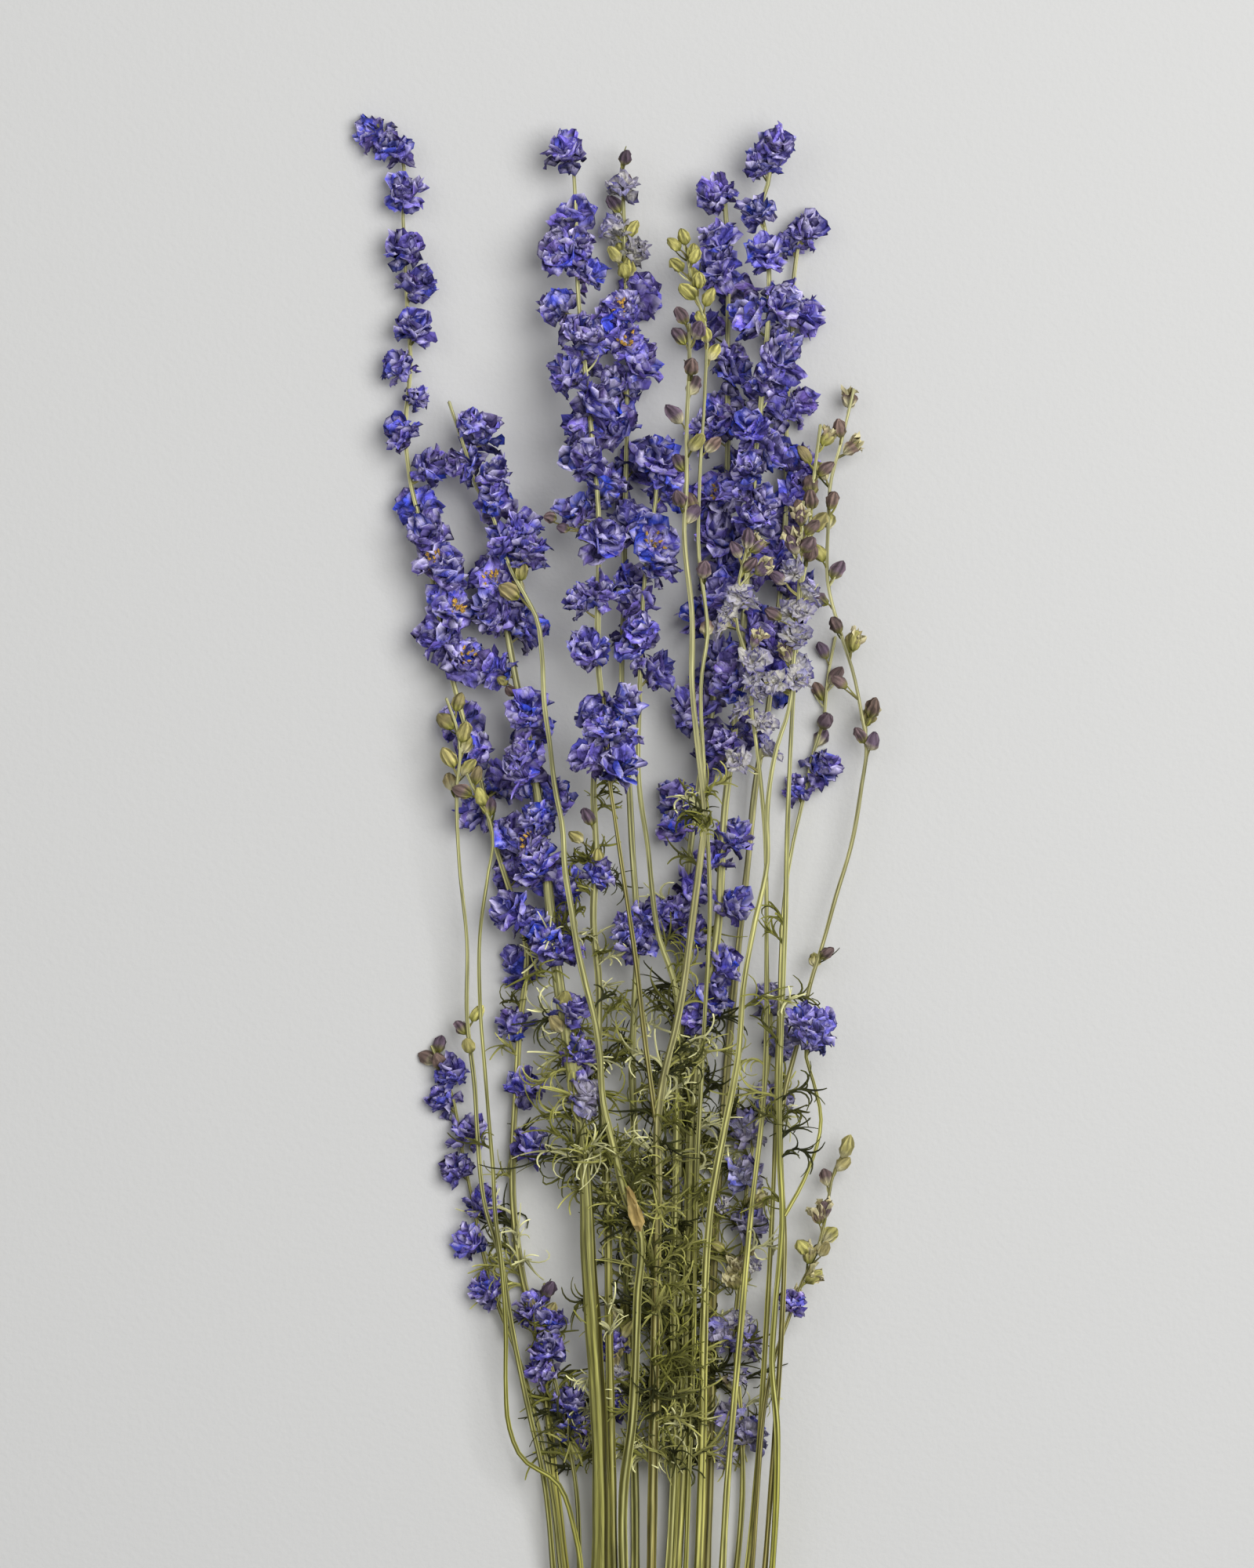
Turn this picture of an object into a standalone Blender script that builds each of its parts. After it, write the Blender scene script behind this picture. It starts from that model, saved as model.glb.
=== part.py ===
"""A bunch of dried delphinium stalks, lying as it was laid down on a table.

X runs across the bunch, Y from the cut ends to the tips and Z up from the table.
Each stalk is one solid: a tapering stem with its crumpled florets, its buds and its
curled leaf threads fused to it. The stalks are laid one after another, and each rests
on the table or on the stalks that are already down.
"""
import math

import bmesh
import bpy
import numpy as np

MM = 0.001

# Driving dimensions, in millimetres
PATH_STEP = 2.0            # spacing of the points on a stem's smooth path
STEM_TOLERANCE = 0.5       # how far a stem's few straight runs may leave that path
SIX_SIDES_FROM = 2.2       # radius at the cut end from which a stem has six sides, not four
FLORET_REACH = 10.0        # from the stem's axis to the middle of a floret of radius 9
FLORET_RADIUS = 9.0
FLORET_MIDDLE = 0.85       # that the eye sees as its middle, against its radius
BUD_RADIUS = 2.6
BUD_MIDDLE = 0.66          # place of a bud's thickest part along its length
PEDICEL_RADIUS = 0.55
ROOT_RADIUS = 0.3          # of a bud's or a leaf's end inside the stem
LEAF_RADIUS = 0.5
BUNCH_MIDDLE = (-5.0, 326.2, 0.0)  # in the routes' own millimetres; it becomes the origin

# The way the stalks lie on each other
CELL = 0.35                # cell of the height map of the pile
SAMPLE = 0.25              # spacing of the points that stand for a face on that map
STATION = 4.0              # length of stem whose height is found as one
GAP = 0.15                 # clear height between a stalk and what it lies on
STEM_SLACK = 0.2           # added to a stem's radius there, for its straight runs
PRESS = 0.8                # depth that the table flattens off the lowest points
SAG = 4e-7                 # a stem's weight against its stiffness, per cubic mm
MAP_LOW = (-140.0, -20.0)  # corners of the height map, in the routes' millimetres
MAP_HIGH = (140.0, 700.0)
TABLE_WIDTH = 0.5          # of the cutter under the table's surface, in metres
TABLE_LENGTH = 1.0
TABLE_DEPTH = 0.1

GOLDEN_ANGLE = math.radians(137.5)

# One entry for each stalk, from the first laid down to the last.
# route: x, y along the stem from the cut end to the tip. stem: radius at the ends.
# florets, buds, leaves: (from y, to y, how many, size). single: (y, side in degrees, radius)
# with side 0 to the right, 90 up and 180 to the left. These y are of the middles of the pieces.
STALKS = [
    dict(name="spike_right_outer", stem=(1.9, 0.8),
         route=[(27, 8), (30, 70), (32, 120), (34, 209), (38, 270), (42, 315), (47, 361), (50, 391),
                (55, 421), (58, 452), (61, 482), (62, 515), (62, 536), (64, 561), (65, 589), (68, 609)],
         florets=[(424, 508, 7, 9.3)],
         single=[(606, 60, 9.0), (600, 190, 7.0), (573, 30, 9.0), (561, 150, 8.5), (538, 0, 9.0),
                 (535, 120, 8.5), (515, 0, 9.0)],
         leaves=[(130, 240, 2, 20)]),
    dict(name="spike_right_inner", stem=(2.0, 0.9),
         route=[(15, 4), (18, 70), (19, 120), (20, 224), (21, 285), (22, 330), (24, 361), (28, 391),
                (33, 421), (37, 467), (39, 512), (39, 558), (39, 603), (38, 616)],
         florets=[(395, 600, 15, 10.0)],
         single=[(619, 110, 9.0), (384, 170, 9.0), (374, 150, 9.0), (350, 30, 9.0), (340, 120, 9.0),
                 (332, 20, 9.0)],
         leaves=[(140, 320, 3, 22)]),
    dict(name="spike_centre_right", stem=(1.9, 0.7),
         route=[(2, 2), (3, 60), (3, 120), (0, 195), (3, 246), (2, 286), (3, 306), (4, 333), (2, 367),
                (1, 387), (-2, 424), (-2, 441), (-1, 468), (-1, 484), (0, 536), (0, 573), (-1, 603),
                (-2, 635)],
         florets=[(486, 586, 8, 10.0)],
         single=[(622, 90, 7.5), (606, 190, 7.0), (597, 0, 7.0), (470, 60, 8.5), (446, 0, 8.5),
                 (340, 20, 8.5), (334, 150, 8.0), (328, 90, 8.0)],
         buds=[(588, 636, 6, 11)],
         leaves=[(160, 300, 2, 20)]),
    dict(name="spike_far_left", stem=(1.7, 0.6),
         route=[(-14, 4), (-22, 70), (-28, 121), (-32, 158), (-37, 185), (-40, 197), (-44, 225),
                (-44, 258), (-43, 273), (-42, 293), (-40, 333), (-44, 345), (-51, 367), (-59, 401),
                (-65, 421), (-70, 441), (-74, 461), (-78, 484), (-84, 508), (-86, 532), (-85, 542),
                (-84, 555), (-85, 569), (-86, 589), (-87, 610), (-89, 638), (-97, 647)],
         florets=[(484, 530, 4, 9.3), (428, 476, 4, 10.2), (315, 421, 9, 10.0)],
         single=[(647, 180, 9.0), (638, 115, 8.5), (620, 85, 9.0), (598, 90, 9.0), (584, 5, 9.0),
                 (567, 60, 9.0), (552, 180, 8.5), (541, 0, 5.5), (297, 180, 8.5), (273, 90, 8.5),
                 (250, 30, 9.0)],
         leaves=[(140, 225, 3, 20)]),
    dict(name="spike_low_left", stem=(1.2, 0.6),
         route=[(-16, 16), (-25, 80), (-30, 121), (-44, 173), (-51, 191), (-56, 209), (-59, 224),
                (-64, 248), (-68, 270), (-76, 289)],
         single=[(278, 60, 8.0), (268, 170, 7.5), (255, 40, 8.5), (242, 150, 8.0), (227, 30, 8.5),
                 (214, 160, 8.0), (195, 130, 8.0)],
         buds=[(280, 290, 4, 10)]),
    dict(name="sprig_base_left", stem=(1.3, 0.6),
         route=[(-12, 10), (-18, 80), (-20, 120), (-24, 142), (-29, 164), (-33, 182), (-32, 197)],
         single=[(188, 150, 8.0), (181, 20, 8.0), (172, 90, 8.5), (164, 180, 7.5), (150, 30, 8.0),
                 (140, 10, 8.0)],
         buds=[(182, 197, 5, 11)],
         leaves=[(124, 150, 2, 18)]),
    dict(name="sprig_base_middle", stem=(1.1, 0.6),
         route=[(-1, 18), (-6, 80), (-9, 120), (-8, 150), (-3, 170), (-2, 190)],
         single=[(172, 160, 7.0), (150, 0, 7.0)],
         buds=[(160, 190, 5, 11)]),
    dict(name="spike_low_right", stem=(1.4, 0.6),
         route=[(34, 5), (41, 70), (45, 120), (44, 148), (42, 179), (45, 209), (47, 239), (53, 270),
                (56, 291), (55, 315)],
         single=[(307, 90, 7.5), (290, 20, 7.5), (269, 30, 8.5), (256, 140, 8.5), (239, 110, 8.5),
                 (220, 60, 9.0), (178, 170, 8.5), (174, 10, 8.0), (145, 160, 8.0), (138, 30, 8.5)],
         buds=[(150, 240, 5, 11)],
         leaves=[(130, 290, 3, 20)]),
    dict(name="stalk_right_side", stem=(1.3, 0.6),
         route=[(38, 12), (46, 80), (50, 120), (54, 180), (57, 240), (59, 300), (62, 353), (65, 370),
                (69, 387), (73, 405), (76, 414), (78, 432), (81, 448)],
         single=[(398, 20, 8.5), (388, 170, 7.0)],
         buds=[(405, 448, 5, 12)]),
    dict(name="spike_right_tall", stem=(2.4, 0.8),
         route=[(13, 14), (18, 70), (21, 120), (23, 179), (24, 224), (26, 273), (30, 303), (35, 333),
                (37, 367), (38, 382), (41, 406), (44, 436), (47, 482), (51, 530), (53, 552), (55, 582),
                (54, 603), (52, 614), (55, 625), (56, 638)],
         florets=[(395, 600, 16, 10.0)],
         single=[(638, 70, 9.0), (630, 185, 9.0), (612, 120, 8.5), (370, 20, 9.0),
                 (362, 150, 8.5), (344, 20, 9.0), (321, 20, 9.0), (308, 60, 9.0),
                 (300, 150, 9.0)],
         leaves=[(130, 300, 3, 22)]),
    dict(name="spike_middle_low", stem=(1.7, 0.7),
         route=[(9, 10), (15, 70), (18, 120), (18, 194), (19, 270), (18, 315), (12, 333), (10, 347),
                (8, 367), (5, 387), (5, 430), (6, 458), (8, 481), (11, 500), (12, 521)],
         florets=[(427, 522, 7, 9.3)],
         leaves=[(140, 330, 3, 22)]),
    dict(name="spike_centre_left", stem=(2.0, 0.7),
         route=[(-2, 12), (-5, 70), (-6, 120), (-7, 179), (-8, 239), (-11, 286), (-11, 315),
                (-13, 336), (-12, 367), (-13, 388), (-10, 425), (-11, 435), (-11, 471), (-11, 495),
                (-14, 530), (-18, 569), (-19, 582), (-20, 617), (-21, 634)],
         florets=[(482, 612, 13, 10.0)],
         single=[(636, 90, 9.5), (464, 30, 9.0), (461, 170, 8.5), (442, 100, 9.0), (357, 40, 8.0)],
         leaves=[(170, 320, 2, 20)]),
    dict(name="spike_thick_stem", stem=(4.2, 1.0),
         route=[(-8, 6), (-10, 60), (-10, 120), (-11, 148), (-13, 179), (-15, 209), (-16, 236),
                (-18, 258), (-23, 291), (-27, 318), (-30, 345), (-33, 376), (-38, 406), (-44, 436),
                (-48, 458), (-53, 482)],
         florets=[(318, 478, 13, 10.0)],
         single=[(303, 20, 8.5), (286, 10, 8.5), (270, 40, 9.0)],
         buds=[(296, 310, 3, 12)],
         leaves=[(236, 300, 5, 24)]),
    dict(name="spike_grey", stem=(1.5, 0.6),
         route=[(30, 9), (36, 70), (39, 120), (44, 179), (48, 224), (53, 270), (54, 330), (53, 376),
                (50, 406), (48, 421), (48, 433), (42, 455), (43, 468), (47, 485)],
         florets=[(400, 470, 6, 7.5)],
         buds=[(474, 486, 3, 10)],
         leaves=[(180, 320, 2, 20)]),
    dict(name="sprig_bud_right", stem=(1.0, 0.6),
         route=[(41, 20), (48, 80), (51, 122), (52, 137), (54, 154), (57, 168), (62, 182), (68, 198),
                (73, 208), (77, 223), (81, 242), (86, 250)],
         single=[(190, 100, 6.5)],
         buds=[(188, 250, 7, 11)]),
    dict(name="stalk_far_right", stem=(1.2, 0.6),
         route=[(44, 8), (52, 70), (56, 121), (61, 209), (61, 270), (67, 294), (71, 313), (76, 329),
                (81, 347), (87, 367), (91, 390), (93, 406), (91, 418), (88, 433), (83, 449), (78, 468),
                (78, 491), (79, 508), (83, 523), (88, 544)],
         buds=[(320, 330, 2, 10), (408, 420, 2, 11), (440, 545, 11, 12)]),
    dict(name="stalk_bud_right", stem=(1.4, 0.7),
         route=[(48, 3), (55, 70), (58, 121), (58, 142), (56, 168), (57, 185), (60, 225), (59, 246),
                (60, 306), (61, 333), (62, 374), (63, 401), (65, 436), (67, 464), (70, 482), (72, 506),
                (75, 530)],
         branch=[(61, 224), (69, 239), (75, 262), (72, 276), (69, 287), (72, 300)],
         branch_single=[(297, 10, 9.0), (292, 0, 9.0), (298, 160, 8.5)],
         buds=[(476, 530, 8, 12)],
         leaves=[(230, 340, 2, 20)]),
    dict(name="stalk_thin_centre", stem=(1.1, 0.6),
         route=[(17, 6), (22, 70), (24, 120), (26, 179), (27, 239), (30, 300), (32, 345), (30, 391),
                (29, 435), (31, 448), (30, 461), (28, 475), (28, 508), (30, 542), (30, 569), (25, 585),
                (23, 598)],
         buds=[(556, 598, 7, 11), (440, 540, 4, 11)]),
    dict(name="stalk_forked", stem=(2.3, 0.7),
         route=[(8, 0), (9, 60), (10, 120), (11, 179), (12, 239), (12, 261), (14, 276), (19, 297),
                (22, 313), (24, 328), (26, 344), (28, 360), (30, 379), (29, 390), (27, 407), (25, 428),
                (25, 455), (22, 488), (23, 508), (23, 530), (24, 552), (24, 568)],
         branch=[(12, 255), (7, 292), (3, 326), (-1, 353), (-5, 380), (-7, 394), (-8, 412), (-9, 424)],
         branch_florets=[(394, 424, 6, 9.8)],
         buds=[(488, 568, 8, 12)],
         leaves=[(170, 270, 3, 22), (372, 384, 1, 14)]),
    dict(name="spike_left_front", stem=(2.1, 0.6),
         route=[(0, 15), (-1, 70), (-1, 121), (2, 144), (3, 162), (4, 192), (5, 218), (-1, 232),
                (-5, 250), (-9, 266), (-11, 290), (-13, 302), (-16, 313), (-19, 326), (-22, 345),
                (-24, 357), (-25, 374), (-28, 390), (-30, 407), (-32, 421), (-33, 441), (-35, 455),
                (-39, 463), (-45, 474), (-50, 488), (-53, 497), (-57, 503), (-62, 518), (-65, 527),
                (-69, 539)],
         florets=[(474, 532, 6, 9.0)],
         single=[(488, 0, 9.0), (478, 10, 8.5)],
         buds=[(466, 476, 2, 11)],
         leaves=[(212, 240, 1, 20)]),
    dict(name="spike_pale_right", stem=(2.0, 0.6),
         route=[(23, 2), (27, 70), (29, 121), (30, 185), (31, 212), (33, 232), (38, 259), (43, 286),
                (45, 313), (49, 336), (54, 360), (54, 380), (58, 406), (62, 418), (64, 436), (66, 461),
                (67, 482), (68, 500)],
         florets=[(434, 480, 5, 7.5)],
         buds=[(482, 500, 5, 11)],
         leaves=[(200, 330, 2, 20)]),
    dict(name="stalk_bud_left", stem=(1.3, 0.6),
         route=[(-20, 8), (-28, 80), (-32, 120), (-39, 152), (-45, 182), (-49, 207), (-55, 227),
                (-58, 255), (-59, 273), (-62, 300), (-62, 329), (-65, 360), (-66, 387), (-65, 409),
                (-70, 424)],
         buds=[(390, 424, 7, 12), (286, 306, 3, 11)]),
    dict(name="stalk_looped_left", stem=(1.1, 0.6),
         route=[(-11, 15), (-16, 60), (-20, 100), (-27, 120), (-41, 130), (-46, 143), (-47, 157),
                (-47, 179), (-49, 207), (-51, 223), (-52, 242), (-53, 254), (-55, 279), (-57, 306),
                (-57, 333), (-54, 355), (-52, 371), (-54, 379), (-59, 388), (-62, 395)],
         buds=[(381, 396, 4, 11)],
         leaves=[(245, 260, 1, 12)]),
]


def smooth_path(route):
    """A cubic through the route's points, read every PATH_STEP, with its length so far."""
    points = np.array(route, float)
    spans = np.linalg.norm(np.diff(points, axis=0), axis=1)
    knots = np.concatenate([[0.0], np.cumsum(spans)])
    slopes = np.diff(points, axis=0) / spans[:, None]
    tangents = np.empty_like(points)
    weights = (spans[1:] / (spans[1:] + spans[:-1]))[:, None]
    tangents[1:-1] = weights * slopes[:-1] + (1 - weights) * slopes[1:]
    tangents[0] = slopes[0]
    tangents[-1] = slopes[-1]
    along = np.linspace(0, knots[-1], int(knots[-1] / PATH_STEP) + 1)
    span = np.clip(np.searchsorted(knots, along, side="right") - 1, 0, len(spans) - 1)
    length = spans[span][:, None]
    t = ((along - knots[span]) / spans[span])[:, None]
    path = ((2 * t**3 - 3 * t**2 + 1) * points[span] + (t**3 - 2 * t**2 + t) * length * tangents[span]
            + (3 * t**2 - 2 * t**3) * points[span + 1] + (t**3 - t**2) * length * tangents[span + 1])
    steps = np.linalg.norm(np.diff(path, axis=0), axis=1)
    return path, np.concatenate([[0.0], np.cumsum(steps)])


def few_points(path, first, last):
    """Indices of the points that keep the path within STEM_TOLERANCE of straight runs."""
    chord = path[last] - path[first]
    chord = chord / np.linalg.norm(chord)
    offsets = path[first:last + 1] - path[first]
    away = np.linalg.norm(offsets - np.outer(offsets @ chord, chord), axis=1)
    worst = int(np.argmax(away))
    if away[worst] <= STEM_TOLERANCE:
        return [first, last]
    middle = first + worst
    return few_points(path, first, middle) + few_points(path, middle, last)[1:]


def primitive(build):
    """Corner places and faces of a small closed primitive that `build` adds to a bmesh."""
    bm = bmesh.new()
    build(bm)
    bmesh.ops.triangulate(bm, faces=bm.faces)
    corners = np.array([vert.co[:] for vert in bm.verts])
    faces = np.array([[vert.index for vert in face.verts] for face in bm.faces])
    bm.free()
    return corners, faces


DROP, DROP_FACES = primitive(lambda bm: bmesh.ops.create_uvsphere(
    bm, u_segments=3, v_segments=4, radius=1.0))
PETALS = 5
ROOT, CROWN = 0, 1
STAR_FACES = np.array([face for i in range(PETALS) for face in (
    (ROOT, 2 + (i + 1) % PETALS, 2 + i),
    (2 + i, 2 + (i + 1) % PETALS, 2 + PETALS + i),
    (CROWN, 2 + i, 2 + PETALS + i),
    (CROWN, 2 + PETALS + i, 2 + (i + 1) % PETALS))])


def floret(radius, rng):
    """A crumpled double floret: five ragged petal points round a full crown, on a narrow root."""
    reach = FLORET_REACH * radius / FLORET_RADIUS
    turn = rng.uniform(0, 2 * math.pi)
    hollow = turn + 2 * math.pi * np.arange(PETALS) / PETALS
    point = hollow + math.pi / PETALS + rng.uniform(-0.2, 0.2, PETALS)
    out = np.concatenate([[0, 0.12 * radius], np.full(PETALS, 0.72 * radius),
                          radius * rng.uniform(0.92, 1.12, PETALS)])
    around = np.concatenate([[0, turn], hollow, point])
    along = reach * np.concatenate([[-0.01, 1.6], rng.uniform(0.7, 1.0, PETALS),
                                    rng.uniform(0.65, 1.3, PETALS)])
    return np.stack([out * np.cos(around), out * np.sin(around), along], axis=1)


def bud(length, rng):
    """A closed three-sided bud that tapers to its point, on a thin stalk of its own."""
    ring = np.round(DROP[:, 2], 1)
    along = length * np.select([ring < -0.9, ring < -0.5, ring < 0.5, ring < 0.9],
                               [-0.01, 0.02, 0.36, BUD_MIDDLE], 1.0)
    out = np.select([ring < -0.9, ring < -0.5, ring < 0.5, ring < 0.9],
                    [0.0, ROOT_RADIUS, PEDICEL_RADIUS, BUD_RADIUS * rng.uniform(0.85, 1.1)], 0.0)
    around = np.arctan2(DROP[:, 1], DROP[:, 0])
    return np.stack([out * np.cos(around), out * np.sin(around), along], axis=1)


def leaf(length, rng):
    """One curled thread of a dried leaf, bent along an arc."""
    ring = np.round(DROP[:, 2], 1)
    t = np.select([ring < -0.9, ring < -0.5, ring < 0.5, ring < 0.9], [-0.01, 0.01, 0.4, 0.78], 1.0)
    out = np.select([np.abs(ring) > 0.9, ring < -0.5], [0.0, ROOT_RADIUS], LEAF_RADIUS)
    around = np.arctan2(DROP[:, 1], DROP[:, 0])
    curl = rng.uniform(0.6, 2.0)
    across = out * np.cos(around)
    bend = length / curl * (1 - np.cos(curl * t)) + across * np.cos(curl * t)
    along = length / curl * np.sin(curl * t) - across * np.sin(curl * t)
    return np.stack([bend, out * np.sin(around), along], axis=1)


SHAPES = dict(floret=(floret, STAR_FACES), bud=(bud, DROP_FACES), leaf=(leaf, DROP_FACES))
# Angle from the stem and its spread, in degrees, and height of a pressed piece against its width
TILTS = dict(floret=(46, 10), single=(34, 8), bud=(30, 9), leaf=(48, 16))
FLATNESS = dict(floret=0.72, bud=0.6, leaf=0.3)


def root_below(kind, tilt, size):
    """How far the root of a piece is below its middle."""
    middle = dict(floret=FLORET_MIDDLE, bud=BUD_MIDDLE, leaf=0.0)[kind]
    return middle * size * math.cos(tilt)


def spirals(stalk, prefix, rng):
    """What grows on a stem, as kind, y, side, tilt and size. A span's pieces wind up the stem."""
    grown = []
    for kind, key in (("floret", "florets"), ("bud", "buds"), ("leaf", "leaves")):
        for low, high, count, size in stalk.get(prefix + key, []):
            first = rng.uniform(0, 2 * math.pi)
            for i in range(count):
                y = low + (high - low) * (i + 0.5 + rng.uniform(-0.25, 0.25)) / count
                side = first + i * GOLDEN_ANGLE + rng.uniform(-0.3, 0.3)
                tilt = math.radians(rng.uniform(-1, 1) * TILTS[kind][1] + TILTS[kind][0])
                grown_size = size * rng.uniform(0.9, 1.08)
                grown.append((kind, y - root_below(kind, tilt, grown_size), side, tilt, grown_size))
    for y, side, size in stalk.get(prefix + "single", []):
        tilt = math.radians(rng.uniform(-1, 1) * TILTS["single"][1] + TILTS["single"][0])
        grown.append(("floret", y - root_below("floret", tilt, size), math.radians(side), tilt, size))
    return grown


def pieces_on(path, along, offset, grown, rng):
    """Corner places of each grown piece before the stalk is settled, with its root's station."""
    directions = np.gradient(path, axis=0)
    directions /= np.linalg.norm(directions, axis=1)[:, None]
    pieces = []
    for kind, y, side, tilt, size in grown:
        station = np.interp(y, path[:, 1], along)
        root = [np.interp(station, along, path[:, axis]) for axis in (0, 1)]
        tx, ty = [np.interp(station, along, directions[:, axis]) for axis in (0, 1)]
        stem = np.array([tx, ty, 0.0])
        outward = np.array([ty * math.cos(side), -tx * math.cos(side), math.sin(side)])
        axis = math.cos(tilt) * stem + math.sin(tilt) * outward
        inner = math.cos(tilt) * outward - math.sin(tilt) * stem
        shape, faces = SHAPES[kind]
        local = shape(size, rng)
        corners = local[:, :1] * inner + local[:, 1:2] * np.cross(axis, inner) + local[:, 2:] * axis
        corners *= (1, 1, FLATNESS[kind])
        corners[:, :2] += root
        pieces.append((kind, corners, faces, offset + station))
    return pieces


def grow(number, stalk):
    """A stalk before it is settled: its stem runs and its pieces, all measured along the stem."""
    rng = np.random.default_rng(100 + number)
    path, along = smooth_path(stalk["route"])
    runs = [(path, along, 0.0, stalk["stem"])]
    pieces = pieces_on(path, along, 0.0, spirals(stalk, "", rng), rng)
    if "branch" in stalk:
        side_path, side_along = smooth_path(stalk["branch"])
        fork = np.interp(side_path[0, 1], path[:, 1], along)
        thick = np.interp(fork, [0, along[-1]], stalk["stem"])
        runs.append((side_path, side_along, fork, (0.7 * thick, stalk["stem"][1])))
        pieces += pieces_on(side_path, side_along, fork, spirals(stalk, "branch_", rng), rng)
    return runs, pieces


def face_samples(corners, faces):
    """Points spread over triangles, no more than SAMPLE apart."""
    a, b, c = (corners[faces[:, i]] for i in range(3))
    longest = np.max([np.linalg.norm(b - a, axis=1), np.linalg.norm(c - b, axis=1),
                      np.linalg.norm(a - c, axis=1)], axis=0)
    counts = np.ceil(longest / SAMPLE).astype(int)
    samples = []
    for count in np.unique(counts):
        pick = counts == count
        i, j = np.meshgrid(np.arange(count + 1), np.arange(count + 1))
        inside = (i + j) <= count
        u = (i[inside] / count)[None, :, None]
        v = (j[inside] / count)[None, :, None]
        points = a[pick][:, None] + u * (b - a)[pick][:, None] + v * (c - a)[pick][:, None]
        samples.append(points.reshape(-1, 3))
    return np.concatenate(samples)


def stem_samples(path, along, offset, ends):
    """Points on the upper and lower side of a round stem, with the station of each."""
    station = np.arange(0, along[-1], SAMPLE)
    centre = np.stack([np.interp(station, along, path[:, axis]) for axis in (0, 1)], axis=1)
    side = np.gradient(centre, axis=0)[:, ::-1] * (1, -1)
    side /= np.linalg.norm(side, axis=1)[:, None]
    radius = np.interp(station, [0, along[-1]], ends)
    radius = radius + STEM_SLACK
    samples = []
    for across in np.linspace(-1, 1, 25):
        for face in (-1, 1):
            height = face * radius * math.sqrt(1 - across**2)
            samples.append(np.column_stack([centre + side * (across * radius)[:, None], height]))
    return np.concatenate(samples), np.tile(offset + station, len(samples))


def rest(floor):
    """Heights of a springy stem that lies over a floor under its own weight.

    It is the beam of least bending and lowest weight: the stations that carry it are held
    at the floor, one that would pull down is let go, and the deepest one is added.
    """
    count = len(floor)
    bend = np.diff(np.eye(count), 2, axis=0)
    stiffness = bend.T @ bend
    load = SAG * STATION**4
    carried = {int(np.argmax(floor)), 0, count - 1}
    for attempt in range(400):
        held = np.array(sorted(carried))
        free = np.setdiff1d(np.arange(count), held)
        heights = floor.copy()
        pull = -load - stiffness[np.ix_(free, held)] @ floor[held]
        heights[free] = np.linalg.solve(stiffness[np.ix_(free, free)], pull)
        push = (stiffness @ heights + load)[held]
        if push.min() < -1e-9 and len(held) > 2:
            carried.discard(int(held[np.argmin(push)]))
        elif (floor - heights).max() > 1e-3:
            carried.add(int(np.argmax(floor - heights)))
        else:
            break
    return heights


def settle(pile, samples, stations, run):
    """The few points of a stem, and their heights, that lay its stalk on the pile.

    Every piece clears what is below it. Heights between the points lie on straight runs.
    """
    path, along = run[:2]
    cell = ((samples[:, :2] - MAP_LOW) / CELL).astype(int)
    need = pile[cell[:, 0], cell[:, 1]] + GAP - samples[:, 2]
    places = np.arange(0, along[-1] + STATION, STATION)
    floor = np.full(len(places), -1e3)
    np.maximum.at(floor, np.clip(np.round(stations / STATION).astype(int), 0, len(places) - 1), need)
    heights = np.interp(along, places, rest(floor))
    picked = few_points(np.column_stack([path, heights]), 0, len(path) - 1)
    knots = along[picked]
    heights = heights[picked]
    heights += np.max(need - np.interp(stations, knots, heights))
    return knots, heights


def pile_up(pile, samples, heights):
    """Raises the height map where the settled samples are now its top, and one cell round them."""
    cell = ((samples[:, :2] - MAP_LOW) / CELL).astype(int)
    top = np.full(pile.shape, -1e3)
    np.maximum.at(top, (cell[:, 0], cell[:, 1]), samples[:, 2] + heights)
    for shift_x in (-1, 0, 1):
        for shift_y in (-1, 0, 1):
            np.maximum(pile, np.roll(top, (shift_x, shift_y), axis=(0, 1)), out=pile)


def lay_down():
    """Every stalk with its pieces at their final height, as runs of stem and corner places."""
    size = ((np.array(MAP_HIGH) - MAP_LOW) / CELL).astype(int)
    pile = np.full(size, -GAP - PRESS)
    laid = []
    for number, stalk in enumerate(STALKS):
        runs, pieces = grow(number, stalk)
        parts = [stem_samples(*run) for run in runs]
        for kind, corners, faces, station in pieces:
            points = face_samples(corners, faces)
            parts.append((points, np.full(len(points), station)))
        samples = np.concatenate([part[0] for part in parts])
        stations = np.concatenate([part[1] for part in parts])
        knots, heights = settle(pile, samples, stations, runs[0])
        pile_up(pile, samples, np.interp(stations, knots, heights))
        laid.append((stalk["name"], runs, pieces, knots, heights))
    return laid


def material(name, colour, roughness):
    """A plain dry finish."""
    made = bpy.data.materials.new(name)
    made.use_nodes = True
    shader = made.node_tree.nodes["Principled BSDF"]
    shader.inputs["Base Color"].default_value = (*colour, 1.0)
    shader.inputs["Roughness"].default_value = roughness
    return made


def mesh_object(name, corners, faces, finish, collection):
    """An object from corner places in the routes' millimetres."""
    mesh = bpy.data.meshes.new(name)
    mesh.from_pydata(((corners - BUNCH_MIDDLE) * MM).tolist(), [], faces.tolist())
    mesh.materials.append(finish)
    made = bpy.data.objects.new(name, mesh)
    collection.objects.link(made)
    return made


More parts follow.
